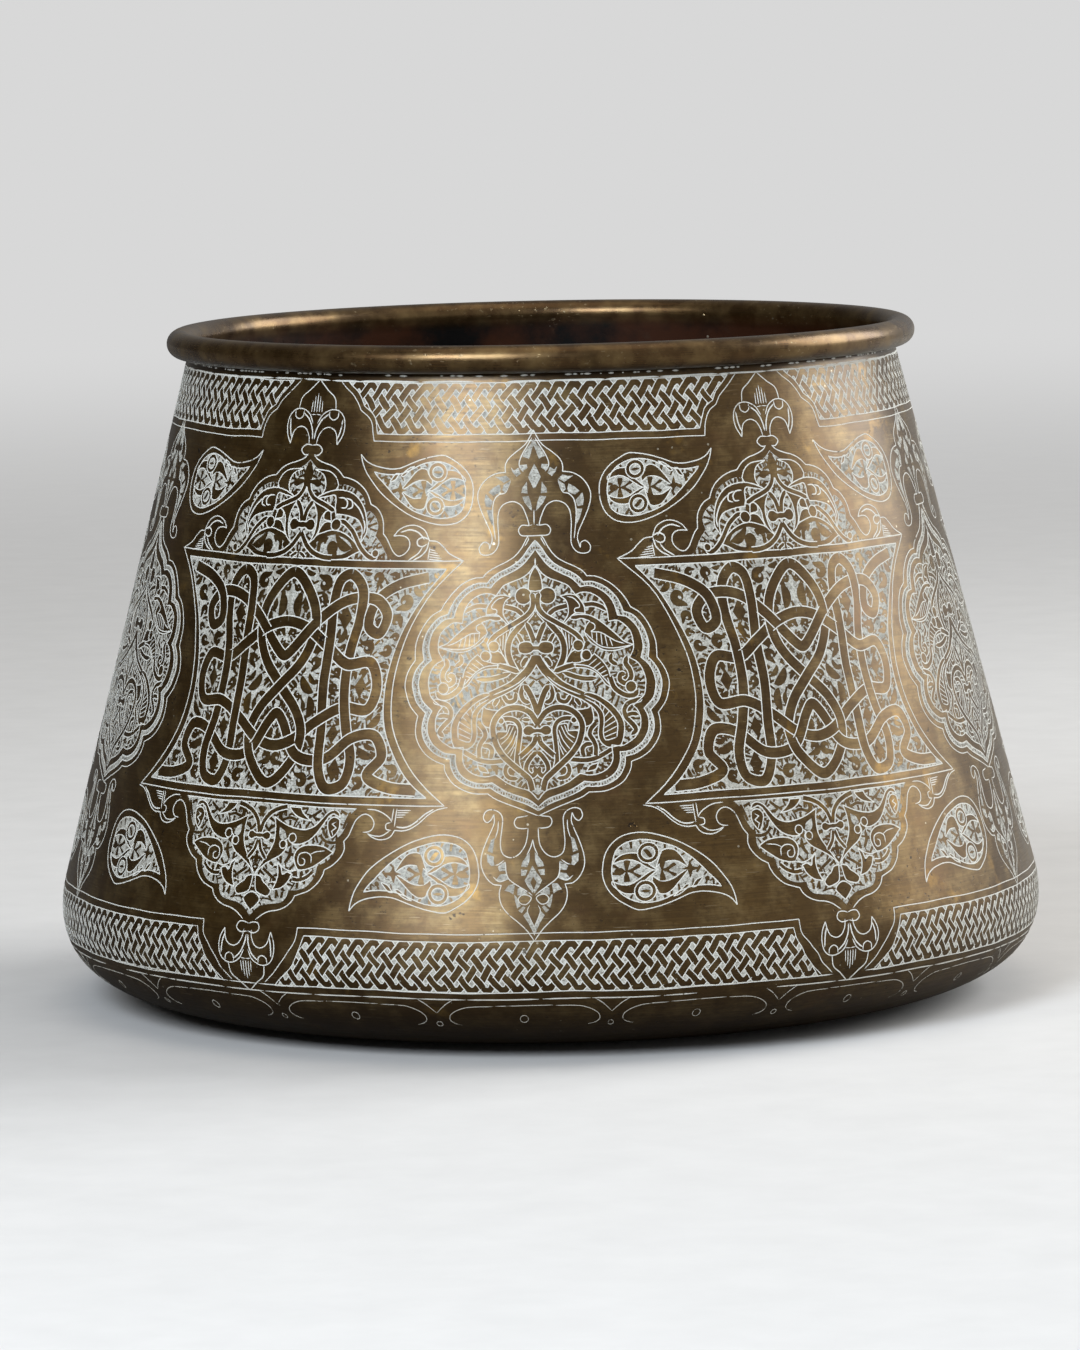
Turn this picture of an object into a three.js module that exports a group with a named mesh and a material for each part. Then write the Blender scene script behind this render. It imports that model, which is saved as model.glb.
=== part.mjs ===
// A raised brass bowl: a straight wall that leans in from a wide rounded heel to a narrower mouth, with its
// top edge rolled outwards over a wire, and a separate base plate brazed inside the turned-in heel.
// Millimetres, +Z up. The origin is the centre of the ring that the bowl stands on.
import * as THREE from "three";

// Driving dimensions
const WALL_FOOT_RADIUS = 148.2; // outside of the straight wall, where it meets the heel
const WALL_FOOT_HEIGHT = 39;
const STANDING_RADIUS = 95; // where the heel turns flat on the ground
const HEEL_PULL_OUT = 40; // how far the heel's curve runs flat before it turns up
const HEEL_PULL_DOWN = 28; // how far it runs on along the wall before it turns in
const FLANGE_INNER_RADIUS = 82; // free edge of the turned-in flange under the bowl
const SHEET = 1.3; // thickness of the brass sheet
const BEAD_CENTRE_RADIUS = 109.7; // the rolled rim's centre circle
const BEAD_CENTRE_HEIGHT = 200.6;
const BEAD_RADIUS = 4.2; // outside of the rolled rim
const CURL_END = THREE.MathUtils.degToRad(-112); // where the rolled sheet's raw edge stops, seen in section
const ASSEMBLY_GAP = 0.3; // clearance between pieces that are rolled or brazed together

const PLATE_RADIUS = 92; // base plate, lapped on the flange
const PLATE_RISE = 2; // how far the plate's middle is pushed up
const WIRE_BUTT_GAP = 0.8; // the rim wire's two ends, at the back

const ROUND_STEPS = 72; // facets round the bowl
const HEEL_STEPS = 10;
const CURL_STEPS = 13;
const WIRE_SIDES = 10;

const BRASS = { color: 0x8a6f45, roughness: 0.42, metalness: 1 };
const BASE_BRASS = { color: 0x7a6240, roughness: 0.5, metalness: 1 };
const IRON = { color: 0x4a4440, roughness: 0.6, metalness: 1 };
const SPELTER = { color: 0xb0904c, roughness: 0.45, metalness: 1 };

const HALF_TURN = Math.PI;

// The bead's curl has the sheet's thickness between its outer and inner circle.
const CURL_INNER_RADIUS = BEAD_RADIUS - SHEET;
const WIRE_RADIUS = CURL_INNER_RADIUS - ASSEMBLY_GAP;

/** Finds the wall's lean, so that its outer face runs from the wall's foot and flows into the curl. */
function wallLean() {
  const run = WALL_FOOT_RADIUS - BEAD_CENTRE_RADIUS;
  const rise = BEAD_CENTRE_HEIGHT - WALL_FOOT_HEIGHT;
  const toCentre = Math.atan2(run, rise);
  // The curl's inner circle lies outside the wall's outer face, which touches it.
  return toCentre + Math.asin(CURL_INNER_RADIUS / Math.hypot(run, rise));
}

const LEAN = wallLean();
const WALL_FOOT = new THREE.Vector2(WALL_FOOT_RADIUS, WALL_FOOT_HEIGHT);
const BEAD_CENTRE = new THREE.Vector2(BEAD_CENTRE_RADIUS, BEAD_CENTRE_HEIGHT);

/** A point of the section, at a distance and an angle from the bead's centre. */
function fromBead(distance, angle) {
  return new THREE.Vector2(Math.cos(angle), Math.sin(angle)).multiplyScalar(distance).add(BEAD_CENTRE);
}

/** The heel's section from the standing ring up to the wall's foot, moved inwards by a depth. */
function heel(depth) {
  const downTheWall = new THREE.Vector2(Math.sin(LEAN), -Math.cos(LEAN));
  const curve = new THREE.CubicBezierCurve(
    new THREE.Vector2(STANDING_RADIUS, 0),
    new THREE.Vector2(STANDING_RADIUS + HEEL_PULL_OUT, 0),
    WALL_FOOT.clone().addScaledVector(downTheWall, HEEL_PULL_DOWN),
    WALL_FOOT,
  );
  const points = [];
  for (let i = 0; i <= HEEL_STEPS; i++) {
    const along = curve.getTangent(i / HEEL_STEPS);
    const inwards = new THREE.Vector2(-along.y, along.x);
    points.push(curve.getPoint(i / HEEL_STEPS).addScaledVector(inwards, depth));
  }
  return points;
}

/** The curl's section from the wall over the top to its raw edge, at a distance from the bead's centre. */
function curl(distance) {
  const start = HALF_TURN + LEAN;
  const points = [];
  for (let i = 0; i <= CURL_STEPS; i++) {
    points.push(fromBead(distance, THREE.MathUtils.lerp(start, CURL_END, i / CURL_STEPS)));
  }
  return points;
}

/** A solid of revolution from a closed section of radius and height points, turned about +Z. */
function turned(section) {
  const geometry = new THREE.LatheGeometry([...section, section[0].clone()], ROUND_STEPS);
  return geometry.rotateX(HALF_TURN / 2);
}

/** The wall, heel, flange and rolled rim: one sheet. The section runs up the outside and down the inside. */
function wallSheet() {
  const outside = [new THREE.Vector2(FLANGE_INNER_RADIUS, 0), ...heel(0), ...curl(CURL_INNER_RADIUS)];
  const inside = [new THREE.Vector2(FLANGE_INNER_RADIUS, SHEET), ...heel(SHEET), ...curl(BEAD_RADIUS)];
  return turned([...outside, ...inside.reverse()]);
}

/** The base plate: a disc with a flat lapped edge and a low crown, lying on the flange. */
function basePlate() {
  const low = SHEET + ASSEMBLY_GAP;
  const flatFrom = FLANGE_INNER_RADIUS - 2 * SHEET;
  const crownFrom = flatFrom / 2;
  return turned([
    new THREE.Vector2(0, low + PLATE_RISE),
    new THREE.Vector2(crownFrom, low + PLATE_RISE * 0.75),
    new THREE.Vector2(flatFrom, low),
    new THREE.Vector2(PLATE_RADIUS, low),
    new THREE.Vector2(PLATE_RADIUS, low + SHEET),
    new THREE.Vector2(flatFrom, low + SHEET),
    new THREE.Vector2(crownFrom, low + SHEET + PLATE_RISE * 0.75),
    new THREE.Vector2(0, low + SHEET + PLATE_RISE),
  ]);
}

/** The fillet of brazing spelter round the base plate's edge, inside the bowl. */
function brazedSeam() {
  const low = SHEET + ASSEMBLY_GAP;
  const inner = PLATE_RADIUS + ASSEMBLY_GAP;
  const legs = 1.6 * SHEET;
  return turned([
    new THREE.Vector2(inner, low),
    new THREE.Vector2(inner + legs, low),
    new THREE.Vector2(inner, low + SHEET),
  ]);
}

/** The wire inside the rolled rim: a rod bent to a ring, whose ends meet at the back. */
class WireRing extends THREE.Curve {
  getPoint(t) {
    const missing = WIRE_BUTT_GAP / BEAD_CENTRE_RADIUS;
    const angle = HALF_TURN / 2 + missing / 2 + t * (2 * HALF_TURN - missing);
    return new THREE.Vector3(
      BEAD_CENTRE_RADIUS * Math.cos(angle),
      BEAD_CENTRE_RADIUS * Math.sin(angle),
      BEAD_CENTRE_HEIGHT,
    );
  }
}

function rimWire() {
  const section = new THREE.Shape();
  for (let i = 0; i < WIRE_SIDES; i++) {
    const angle = (i / WIRE_SIDES) * 2 * HALF_TURN;
    const x = WIRE_RADIUS * Math.cos(angle);
    const y = WIRE_RADIUS * Math.sin(angle);
    if (i === 0) section.moveTo(x, y);
    else section.lineTo(x, y);
  }
  section.closePath();
  return new THREE.ExtrudeGeometry(section, {
    steps: ROUND_STEPS,
    bevelEnabled: false,
    extrudePath: new WireRing(),
  });
}

/** One named piece with its own material. */
function piece(name, geometry, finish) {
  const mesh = new THREE.Mesh(geometry, new THREE.MeshStandardMaterial(finish));
  mesh.name = name;
  return mesh;
}

const bowl = new THREE.Group();
bowl.add(
  piece("wall_sheet", wallSheet(), BRASS),
  piece("rim_wire", rimWire(), IRON),
  piece("base_plate", basePlate(), BASE_BRASS),
  piece("brazed_seam", brazedSeam(), SPELTER),
);

export default bowl;
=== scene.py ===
"""An engraved brass bowl: the finished surface, its white-filled ornament and a plain studio round it.

The ornament is drawn in millimetres on the unrolled wall, where x runs round the bowl and y is the height.
The scene itself is in metres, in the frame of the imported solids.
"""

import logging
import math
from collections.abc import Sequence
from dataclasses import dataclass, field
from enum import Enum

import bpy
import numpy as np
from mathutils import Euler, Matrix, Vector
from mathutils.geometry import delaunay_2d_cdt


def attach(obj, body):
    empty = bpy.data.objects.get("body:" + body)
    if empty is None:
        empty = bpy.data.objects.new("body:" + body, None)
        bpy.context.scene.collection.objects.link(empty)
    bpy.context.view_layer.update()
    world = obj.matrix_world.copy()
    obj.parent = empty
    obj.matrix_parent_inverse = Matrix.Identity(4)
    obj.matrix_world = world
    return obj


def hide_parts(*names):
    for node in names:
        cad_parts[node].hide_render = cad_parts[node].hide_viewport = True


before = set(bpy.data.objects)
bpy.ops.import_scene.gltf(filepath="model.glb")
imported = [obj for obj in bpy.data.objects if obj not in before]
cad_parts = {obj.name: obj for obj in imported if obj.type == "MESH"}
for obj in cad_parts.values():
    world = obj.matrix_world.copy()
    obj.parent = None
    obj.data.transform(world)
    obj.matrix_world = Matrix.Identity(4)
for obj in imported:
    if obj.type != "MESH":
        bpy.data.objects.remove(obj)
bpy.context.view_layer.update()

MM = 0.001
FULL_TURN = 2 * math.pi
FOLD = 5  # medallions round the bowl, and as many cartouches between them
MEDALLION_AZIMUTH = math.radians(-1.4)  # from the side that faces the camera, counted to the right
CARTOUCHE_AZIMUTH = math.radians(35.4)

Point = tuple[float, float]
Triple = tuple[float, float, float]
Colour = tuple[float, float, float, float]
Outline = np.ndarray | Sequence[Point]
Socket = bpy.types.NodeSocket

log = logging.getLogger("bowl")


# Colours and nodes

def linear(hex_colour: str) -> Colour:
    """Turns an sRGB hex colour into linear light.

    Args:
        hex_colour: Six hex digits, with or without a leading hash.

    Returns:
        Red, green, blue and a full alpha.
    """
    digits = hex_colour.lstrip("#")
    srgb = [int(digits[i:i + 2], 16) / 255 for i in (0, 2, 4)]
    return (*[c / 12.92 if c <= 0.04045 else ((c + 0.055) / 1.055) ** 2.4 for c in srgb], 1.0)


def add_node(tree: bpy.types.NodeTree, kind: str, settings: dict | None = None,
             inputs: dict | None = None) -> bpy.types.Node:
    """Adds a node with its settings, and fills or links its inputs.

    Args:
        tree: The node tree that gets the node.
        kind: The node's type name.
        settings: Attributes to set on the node.
        inputs: Values or output sockets by input name or number.

    Returns:
        The new node.
    """
    node = tree.nodes.new(kind)
    for name, value in (settings or {}).items():
        setattr(node, name, value)
    for key, value in (inputs or {}).items():
        socket = node.inputs[key]
        if isinstance(value, bpy.types.NodeSocket):
            tree.links.new(value, socket)
        else:
            socket.default_value = value
    return node


# Curves and outlines in flat millimetres

def curve(points: Sequence[Point], closed: bool = False, step: float = 0.4) -> np.ndarray:
    """Runs a curve through given points. A point given twice in a row makes a corner.

    Args:
        points: The points to pass.
        closed: Whether the curve returns to its first point.
        step: Greatest spacing of the result.

    Returns:
        Points along the curve, one row each.
    """
    return np.vstack(stretches(points, closed, step))


def outlined(points: Outline) -> np.ndarray:
    """Runs a closed curve through given points, or gives a ready path back.

    Args:
        points: A ready path, or a list of points whose last one may repeat the first, for a corner there.

    Returns:
        Points along the outline.
    """
    if isinstance(points, np.ndarray):
        return points
    return curve(points, points[0] != points[-1])


def clockwise(outline: np.ndarray) -> np.ndarray:
    """Gives a closed outline in clockwise order.

    Args:
        outline: Points along the outline.

    Returns:
        The same points, in that order.
    """
    x, y = outline.T
    area = np.dot(x, np.roll(y, -1)) - np.dot(y, np.roll(x, -1))
    return outline[::-1] if area > 0 else outline


def stretches(points: Sequence[Point], closed: bool = False, step: float = 0.4) -> list[np.ndarray]:
    """Runs a curve through points and keeps its stretches from corner to corner apart.

    Args:
        points: The points to pass. A point given twice in a row makes a corner.
        closed: Whether the curve returns to its first point.
        step: Greatest spacing of the result.

    Returns:
        One path for each stretch.
    """
    knots = np.asarray(points, float)
    corners = np.flatnonzero(np.all(knots[1:] == knots[:-1], axis=1)) + 1
    if len(corners) == 0:
        return [smooth(knots, closed, step)]
    if closed:
        knots = np.vstack([knots, knots[:1]])
    return [smooth(stretch, False, step) for stretch in np.split(knots, corners) if len(stretch) > 1]


def between(first: Sequence[Point], second: Sequence[Point], share: float) -> np.ndarray:
    """Gives the outline part of the way from one to another that has as many corners.

    Args:
        first: Points of the one outline.
        second: Points of the other.
        share: How far the result lies towards the other, from 0 to 1.

    Returns:
        Points along the outline between them.
    """
    parts = []
    for pair in zip(stretches(first), stretches(second)):
        even = [np.stack([np.interp(np.linspace(0, len(path) - 1, 60), np.arange(len(path)), path[:, axis])
                          for axis in (0, 1)], -1) for path in pair]
        parts.append(even[0] + (even[1] - even[0]) * share)
    return np.vstack(parts)


def smooth(knots: np.ndarray, closed: bool, step: float) -> np.ndarray:
    """Runs one smooth curve through points, without corners.

    Args:
        knots: The points to pass.
        closed: Whether the curve returns to its first point.
        step: Greatest spacing of the result.

    Returns:
        Points along the curve.
    """
    if closed:
        knots = np.vstack([knots, knots[:1]])
    spans = np.maximum(np.hypot(*np.diff(knots, axis=0).T), 1e-6)
    if closed:
        before = np.vstack([knots[-2], knots[:-1]])
        after = np.vstack([knots[1:], knots[1]])
        reach = np.r_[spans[-1], spans] + np.r_[spans, spans[0]]
    else:
        before = np.vstack([knots[0], knots[:-1]])
        after = np.vstack([knots[1:], knots[-1]])
        reach = np.r_[0, spans] + np.r_[spans, 0]
    slopes = (after - before) / reach[:, None]
    pieces = []
    for i, span in enumerate(spans):
        t = np.linspace(0, 1, max(2, math.ceil(span / step) + 1))[:, None]
        if i < len(spans) - 1 or closed:
            t = t[:-1]
        pieces.append((2 * t**3 - 3 * t**2 + 1) * knots[i] + (t**3 - 2 * t**2 + t) * span * slopes[i]
                      + (3 * t**2 - 2 * t**3) * knots[i + 1] + (t**3 - t**2) * span * slopes[i + 1])
    return np.vstack(pieces)


def circle(centre: Point, radius: float, start: float = 0, end: float = 360) -> np.ndarray:
    """Gives points along a circle or an arc, anticlockwise from start to end in degrees.

    Args:
        centre: Its middle.
        radius: Its radius.
        start: Where the arc starts.
        end: Where the arc ends.

    Returns:
        The points. A whole circle doesn't repeat its first one.
    """
    steps = max(3, math.ceil(abs(end - start) / 360 * max(10, radius * 9)))
    turn = np.radians(np.linspace(start, end, steps + 1))
    path = np.asarray(centre) + radius * np.stack([np.cos(turn), np.sin(turn)], -1)
    return path[:-1] if abs(end - start) == 360 else path


def thinned(path: np.ndarray, error: float = 0.03, longest: float = 3.0) -> np.ndarray:
    """Leaves out the points of a path that its neighbours stand for well enough.

    Args:
        path: Points along the path.
        error: How far a left-out point may lie from the result.
        longest: Greatest spacing of the result.

    Returns:
        The points that are kept, the first and last among them.
    """
    kept = [0]
    for i in range(2, len(path)):
        start, skipped = path[kept[-1]], path[kept[-1] + 1:i]
        chord = path[i] - start
        length = math.hypot(*chord)
        off = np.abs(chord[0] * (skipped[:, 1] - start[1]) - chord[1] * (skipped[:, 0] - start[0]))
        if length > longest or off.max() > error * max(length, 1e-9):
            kept.append(i - 1)
    return path[[*kept, len(path) - 1]]


def sides(path: np.ndarray) -> np.ndarray:
    """Gives the unit normals along a path, pointing to its left.

    Args:
        path: Points along the path.

    Returns:
        One normal for each point.
    """
    along = np.gradient(path, axis=0)
    along /= np.maximum(np.hypot(*along.T), 1e-9)[:, None]
    return np.stack([-along[:, 1], along[:, 0]], -1)


def ribbon(path: np.ndarray, half_width: np.ndarray | float) -> np.ndarray:
    """Gives the closed outline of a ribbon along a path."""
    offset = sides(path) * np.broadcast_to(half_width, len(path))[:, None]
    return np.vstack([thinned(path + offset), thinned(path - offset)[::-1]])


def subdivided(outline: np.ndarray, longest: float = 3.0) -> np.ndarray:
    """Adds points to an outline's long straight edges, so that they can follow the wall.

    Args:
        outline: A closed outline.
        longest: Greatest length of an edge.

    Returns:
        The outline with its new points.
    """
    ahead = np.roll(outline, -1, axis=0)
    counts = np.maximum(1, np.ceil(np.hypot(*(ahead - outline).T) / longest).astype(int))
    if counts.max() == 1:
        return outline
    start, end = np.repeat(outline, counts, axis=0), np.repeat(ahead, counts, axis=0)
    share = np.concatenate([np.arange(count) / count for count in counts])
    return start + (end - start) * share[:, None]


def inside(points: np.ndarray, outline: np.ndarray) -> np.ndarray:
    """Says which points an outline goes round, also where it crosses itself.

    Args:
        points: The points to test.
        outline: A closed outline.

    Returns:
        True for each point with a winding number other than zero.
    """
    result = np.zeros(len(points), bool)
    low, high = outline.min(0), outline.max(0)
    near = np.flatnonzero(np.all((points > low) & (points < high), axis=1))
    if len(near) == 0:
        return result
    x, y = points[near, 0][:, None], points[near, 1][:, None]
    x0, y0 = outline.T
    x1, y1 = np.roll(outline, -1, axis=0).T
    left = (x1 - x0) * (y - y0) - (x - x0) * (y1 - y0)
    turns = ((y0 <= y) & (y1 > y) & (left > 0)).sum(1) - ((y0 > y) & (y1 <= y) & (left < 0)).sum(1)
    result[near] = turns != 0
    return result


class Paint(Enum):
    """What a shape of a drawing leaves: bare metal, a cleared ground or a single cut, both filled white."""

    METAL = 0
    GROUND = 1
    LINE = 2


@dataclass
class Drawing:
    """A graver's pattern: shapes that are painted over one another, in flat millimetres.

    A strap or leaf is metal with a white line round it. Little ticks of metal stand out from it into the
    ground, where the graver left the metal between his cuts.
    """

    line: float = 0.3
    strap_width: float = 1.6
    tick_pitch: float = 2.1
    seed: int = 1
    both_sides: bool = False  # every shape is drawn again, mirrored at x = 0
    grounds: list[tuple[np.ndarray, Paint]] = field(default_factory=list)
    ticks: list[tuple[np.ndarray, Paint]] = field(default_factory=list)
    figures: list[tuple[np.ndarray, Paint]] = field(default_factory=list)

    def __post_init__(self) -> None:
        """Starts the pattern's own fixed row of random numbers."""
        self.random = np.random.default_rng(self.seed)

    def put(self, layer: list[tuple[np.ndarray, Paint]], outline: np.ndarray, paint: Paint) -> None:
        """Adds a shape to a layer, and its mirror image where both sides are drawn.

        Args:
            layer: The layer it goes into.
            outline: The shape.
            paint: What the shape leaves.
        """
        layer.append((outline, paint))
        if self.both_sides:
            layer.append((outline * (-1, 1), paint))

    def ground(self, outline: np.ndarray) -> None:
        """Clears a ground, which is filled white under all figures."""
        self.put(self.grounds, thinned(outline), Paint.GROUND)

    def groove(self, points: Sequence[Point], width: float | None = None, closed: bool = False,
               tips: Point = (0.8, 0.8)) -> None:
        """Cuts one white line.

        Args:
            points: Given points along the line, or a ready path.
            width: The line's width, if not the drawing's own.
            closed: Whether the line returns to its first point.
            tips: How far from each end the line comes to a point.
        """
        path = points if isinstance(points, np.ndarray) else curve(points, closed)
        half = (width or self.line) / 2
        if closed:
            path = np.vstack([path, path[:2]])
        else:
            half = half * pointed(path, tips)
        self.put(self.figures, ribbon(path, half), Paint.LINE)

    def strap(self, points: Sequence[Point], width: float | None = None, tips: Point = (0, 0),
              ticked: bool = True, lined: bool = True) -> None:
        """Leaves a strap or stem of metal with a white line along both sides.

        Args:
            points: Given points along its middle, or a ready path.
            width: The strap's width, if not the drawing's own.
            tips: How far from each end the strap comes to a point.
            ticked: Whether ticks stand out from it.
            lined: Whether it has its white lines.
        """
        path = points if isinstance(points, np.ndarray) else curve(points)
        half = (width or self.strap_width) / 2 * pointed(path, tips)
        if ticked:
            self.tick_row(path, half + self.line)
            self.tick_row(path[::-1], half[::-1] + self.line)
        if lined:
            self.put(self.figures, ribbon(path, half + self.line), Paint.LINE)
        self.put(self.figures, ribbon(path, half), Paint.METAL)

    def leaf(self, outline: Outline, ticked: bool = True) -> None:
        """Leaves a leaf or other closed shape of metal with a white line round it.

        Args:
            outline: Its outline, as points to pass or a ready path.
            ticked: Whether ticks stand out from it.
        """
        path = clockwise(outlined(outline))
        edge = np.vstack([path, path[:2]])
        on_axis = self.both_sides & (np.abs(path[:, 0]) < 0.02)
        if on_axis.sum() > 1:
            # The part along the mirror line gets no white line, so that both halves become one leaf.
            start = np.flatnonzero(on_axis & ~np.roll(on_axis, -1))[0]
            path = np.roll(path, -start, axis=0)
            edge = path[:np.flatnonzero(np.roll(on_axis, -start))[1] + 1]
        if ticked:
            self.tick_row(edge, np.full(len(edge), self.line))
        self.put(self.figures, thinned(np.vstack([path, path[:1]])), Paint.METAL)
        self.put(self.figures, ribbon(edge, self.line / 2), Paint.LINE)

    def fill(self, outline: Outline) -> None:
        """Clears a ground within a figure and fills it white."""
        self.put(self.figures, thinned(outlined(outline)), Paint.GROUND)

    def pockets(self, *outlines: Sequence[Point]) -> None:
        """Clears small grounds with straight edges."""
        for outline in outlines:
            self.fill(np.array(outline))

    def bare(self, outline: Outline) -> None:
        """Leaves a small shape of metal in a ground, without a line. A straight edge joins its two ends."""
        path = outline if isinstance(outline, np.ndarray) else curve(outline)
        self.put(self.figures, thinned(path), Paint.METAL)

    def veins(self, *lines: Sequence[Point]) -> None:
        """Cuts the thin lines of a leaf's veins."""
        for points in lines:
            self.groove(points, 0.26, tips=(0.4, 0.4))

    def specks(self, outside: np.ndarray, inside_edge: np.ndarray) -> None:
        """Leaves fine specks of metal in a narrow hatched border between two edges.

        Args:
            outside: The border's outer edge.
            inside_edge: The border's inner edge.
        """
        steps = 700
        run = np.linspace(0, 1, steps)
        outer, inner = (edge[(run * (len(edge) - 1)).astype(int)] for edge in (outside, inside_edge))
        for i in range(4, steps - 4, 5):
            middle = outer[i] + (inner[i] - outer[i]) * self.random.uniform(0.3, 0.7)
            along = self.random.uniform(0.14, 0.3)
            tall = self.random.uniform(0.2, 0.42)
            block = [(-along, -tall), (along, -tall), (along * 0.6, tall), (-along, tall * 0.8)]
            self.put(self.ticks, middle + np.array(block), Paint.METAL)

    def curl(self, middle: np.ndarray, radius: float) -> None:
        """Leaves a small half-palmette within a circle: a stem that swells and hooks round a white eye.

        Args:
            middle: The circle's middle.
            radius: Its radius.
        """
        hand = self.random.choice((-1, 1))
        share = np.linspace(0, 1, 26)
        bend = np.where(share < 0.3, -0.35, 0.75 + 0.75 * share) * hand / 4
        turn = self.random.uniform(0, FULL_TURN) + np.cumsum(bend)
        path = np.cumsum(np.stack([np.cos(turn), np.sin(turn)], -1), axis=0) / 4
        path -= (path.min(0) + path.max(0)) / 2
        half = (0.28 + 0.52 * np.sin(math.pi * share ** 0.8) ** 2) * pointed(path, (0.3, 1.4))
        size = radius / (np.hypot(*path.T) + half).max()
        self.bare(ribbon(path * size + middle, half * size))

    def sprig(self, middle: np.ndarray, radius: float) -> None:
        """Leaves a bent leaf within a circle, with a smaller one beside it.

        Args:
            middle: The circle's middle.
            radius: Its radius.
        """
        share = np.linspace(-1, 1, 14)
        lean = self.random.uniform(0, FULL_TURN)
        axes = np.array([(math.cos(lean), math.sin(lean)), (-math.sin(lean), math.cos(lean))])
        for length, shift, width in ((1.0, -0.18, 0.42), (0.62, 0.66, 0.24)):
            path = np.stack([share * length, shift + 0.35 * share ** 2 * length], -1) @ axes
            half = width * (1 - share ** 2) ** 0.7 + 0.03
            self.bare(ribbon(path * radius + middle, half * radius))

    def disc(self, centre: Point, radius: float, ticked: bool = True) -> None:
        """Leaves a round berry of metal with a white line round it."""
        self.leaf(circle(centre, radius), ticked)

    def tick_edge(self, edge: np.ndarray, clear: float = 0.2) -> None:
        """Leaves ticks along both sides of a field's edge, of which those inside the field show."""
        for path in (edge, edge[::-1]):
            self.tick_row(path, np.full(len(edge), clear))

    def tick_row(self, path: np.ndarray, clear: np.ndarray) -> None:
        """Leaves ticks of metal along the left of a path, in the ground.

        Args:
            path: The line that the ticks stand along.
            clear: How far from the path they begin, for each of its points.
        """
        run = np.r_[0, np.cumsum(np.hypot(*np.diff(path, axis=0).T))]
        normals = sides(path)
        place = self.tick_pitch * self.random.uniform(0.2, 0.8)
        while place < run[-1]:
            i = int(np.searchsorted(run, place))
            out = normals[i] + self.random.uniform(-0.5, 0.5) * np.array([normals[i][1], -normals[i][0]])
            across = np.array([-out[1], out[0]]) * self.random.uniform(0.28, 0.5)
            foot = path[i] + out * (clear[i] - 0.05)
            tip = foot + out * self.random.uniform(1.0, 2.5)
            wedge = np.array([foot - across, foot + across, tip + across * 0.6, tip - across * 0.7])
            self.put(self.ticks, wedge, Paint.METAL)
            place += self.tick_pitch * self.random.uniform(0.7, 1.4)

    def clip(self, outline: np.ndarray, margin: Point = (40, 12)) -> None:
        """Takes back to bare metal whatever lies outside an outline.

        Args:
            outline: The closed outline.
            margin: How far beyond it the metal reaches, along and upwards.
        """
        low, high = outline.min(0) - margin, outline.max(0) + margin
        frame_path = np.array([low, (high[0], low[1]), high, (low[0], high[1]), low])
        hole = clockwise(outline)
        hole = thinned(np.vstack([hole, hole[:1]]))
        self.figures.append((np.vstack([frame_path, hole]), Paint.METAL))

    def paste_sheet(self) -> tuple[np.ndarray, np.ndarray, np.ndarray]:
        """Works out where paste stays after all shapes are painted.

        Returns:
            Points, triangles as rows of three point numbers, and 1 for each triangle of a single cut line.
        """
        layers = (*self.grounds, *self.ticks, *self.figures)
        shapes = [(subdivided(outline), paint) for outline, paint in layers]
        points: list[Vector] = []
        edges: list[tuple[int, int]] = []
        for outline, _ in shapes:
            first = len(points)
            count = len(outline)
            points += [Vector(p) for p in outline]
            edges += [(first + i, first + (i + 1) % count) for i in range(count)]
        flat, _, triangles, *_ = delaunay_2d_cdt(points, edges, [], 0, 1e-3, False)
        corners = np.array([tuple(p) for p in flat])
        faces = np.array(triangles)
        middles = corners[faces].mean(1)
        filled = np.zeros(len(faces), bool)
        lines = np.zeros(len(faces))
        for outline, paint in shapes:
            hit = inside(middles, outline)
            filled[hit] = paint is not Paint.METAL
            lines[hit] = paint is Paint.LINE
        used, numbers = np.unique(faces[filled], return_inverse=True)
        return corners[used], numbers.reshape(-1, 3), lines[filled]


def pointed(path: np.ndarray, tips: Point) -> np.ndarray:
    """Gives a share of the full width along a path that comes to a point at its ends.

    Args:
        path: Points along the path.
        tips: Length of the point at the start and at the end; 0 leaves it blunt.

    Returns:
        One number for each point, from nearly 0 to 1.
    """
    run = np.r_[0, np.cumsum(np.hypot(*np.diff(path, axis=0).T))]
    share = np.ones(len(path))
    for distance, tip in ((run, tips[0]), (run[-1] - run, tips[1])):
        if tip > 0:
            share = np.minimum(share, np.clip(distance / tip, 0.05, 1) ** 0.6)
    return share


# The bowl's body

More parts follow.
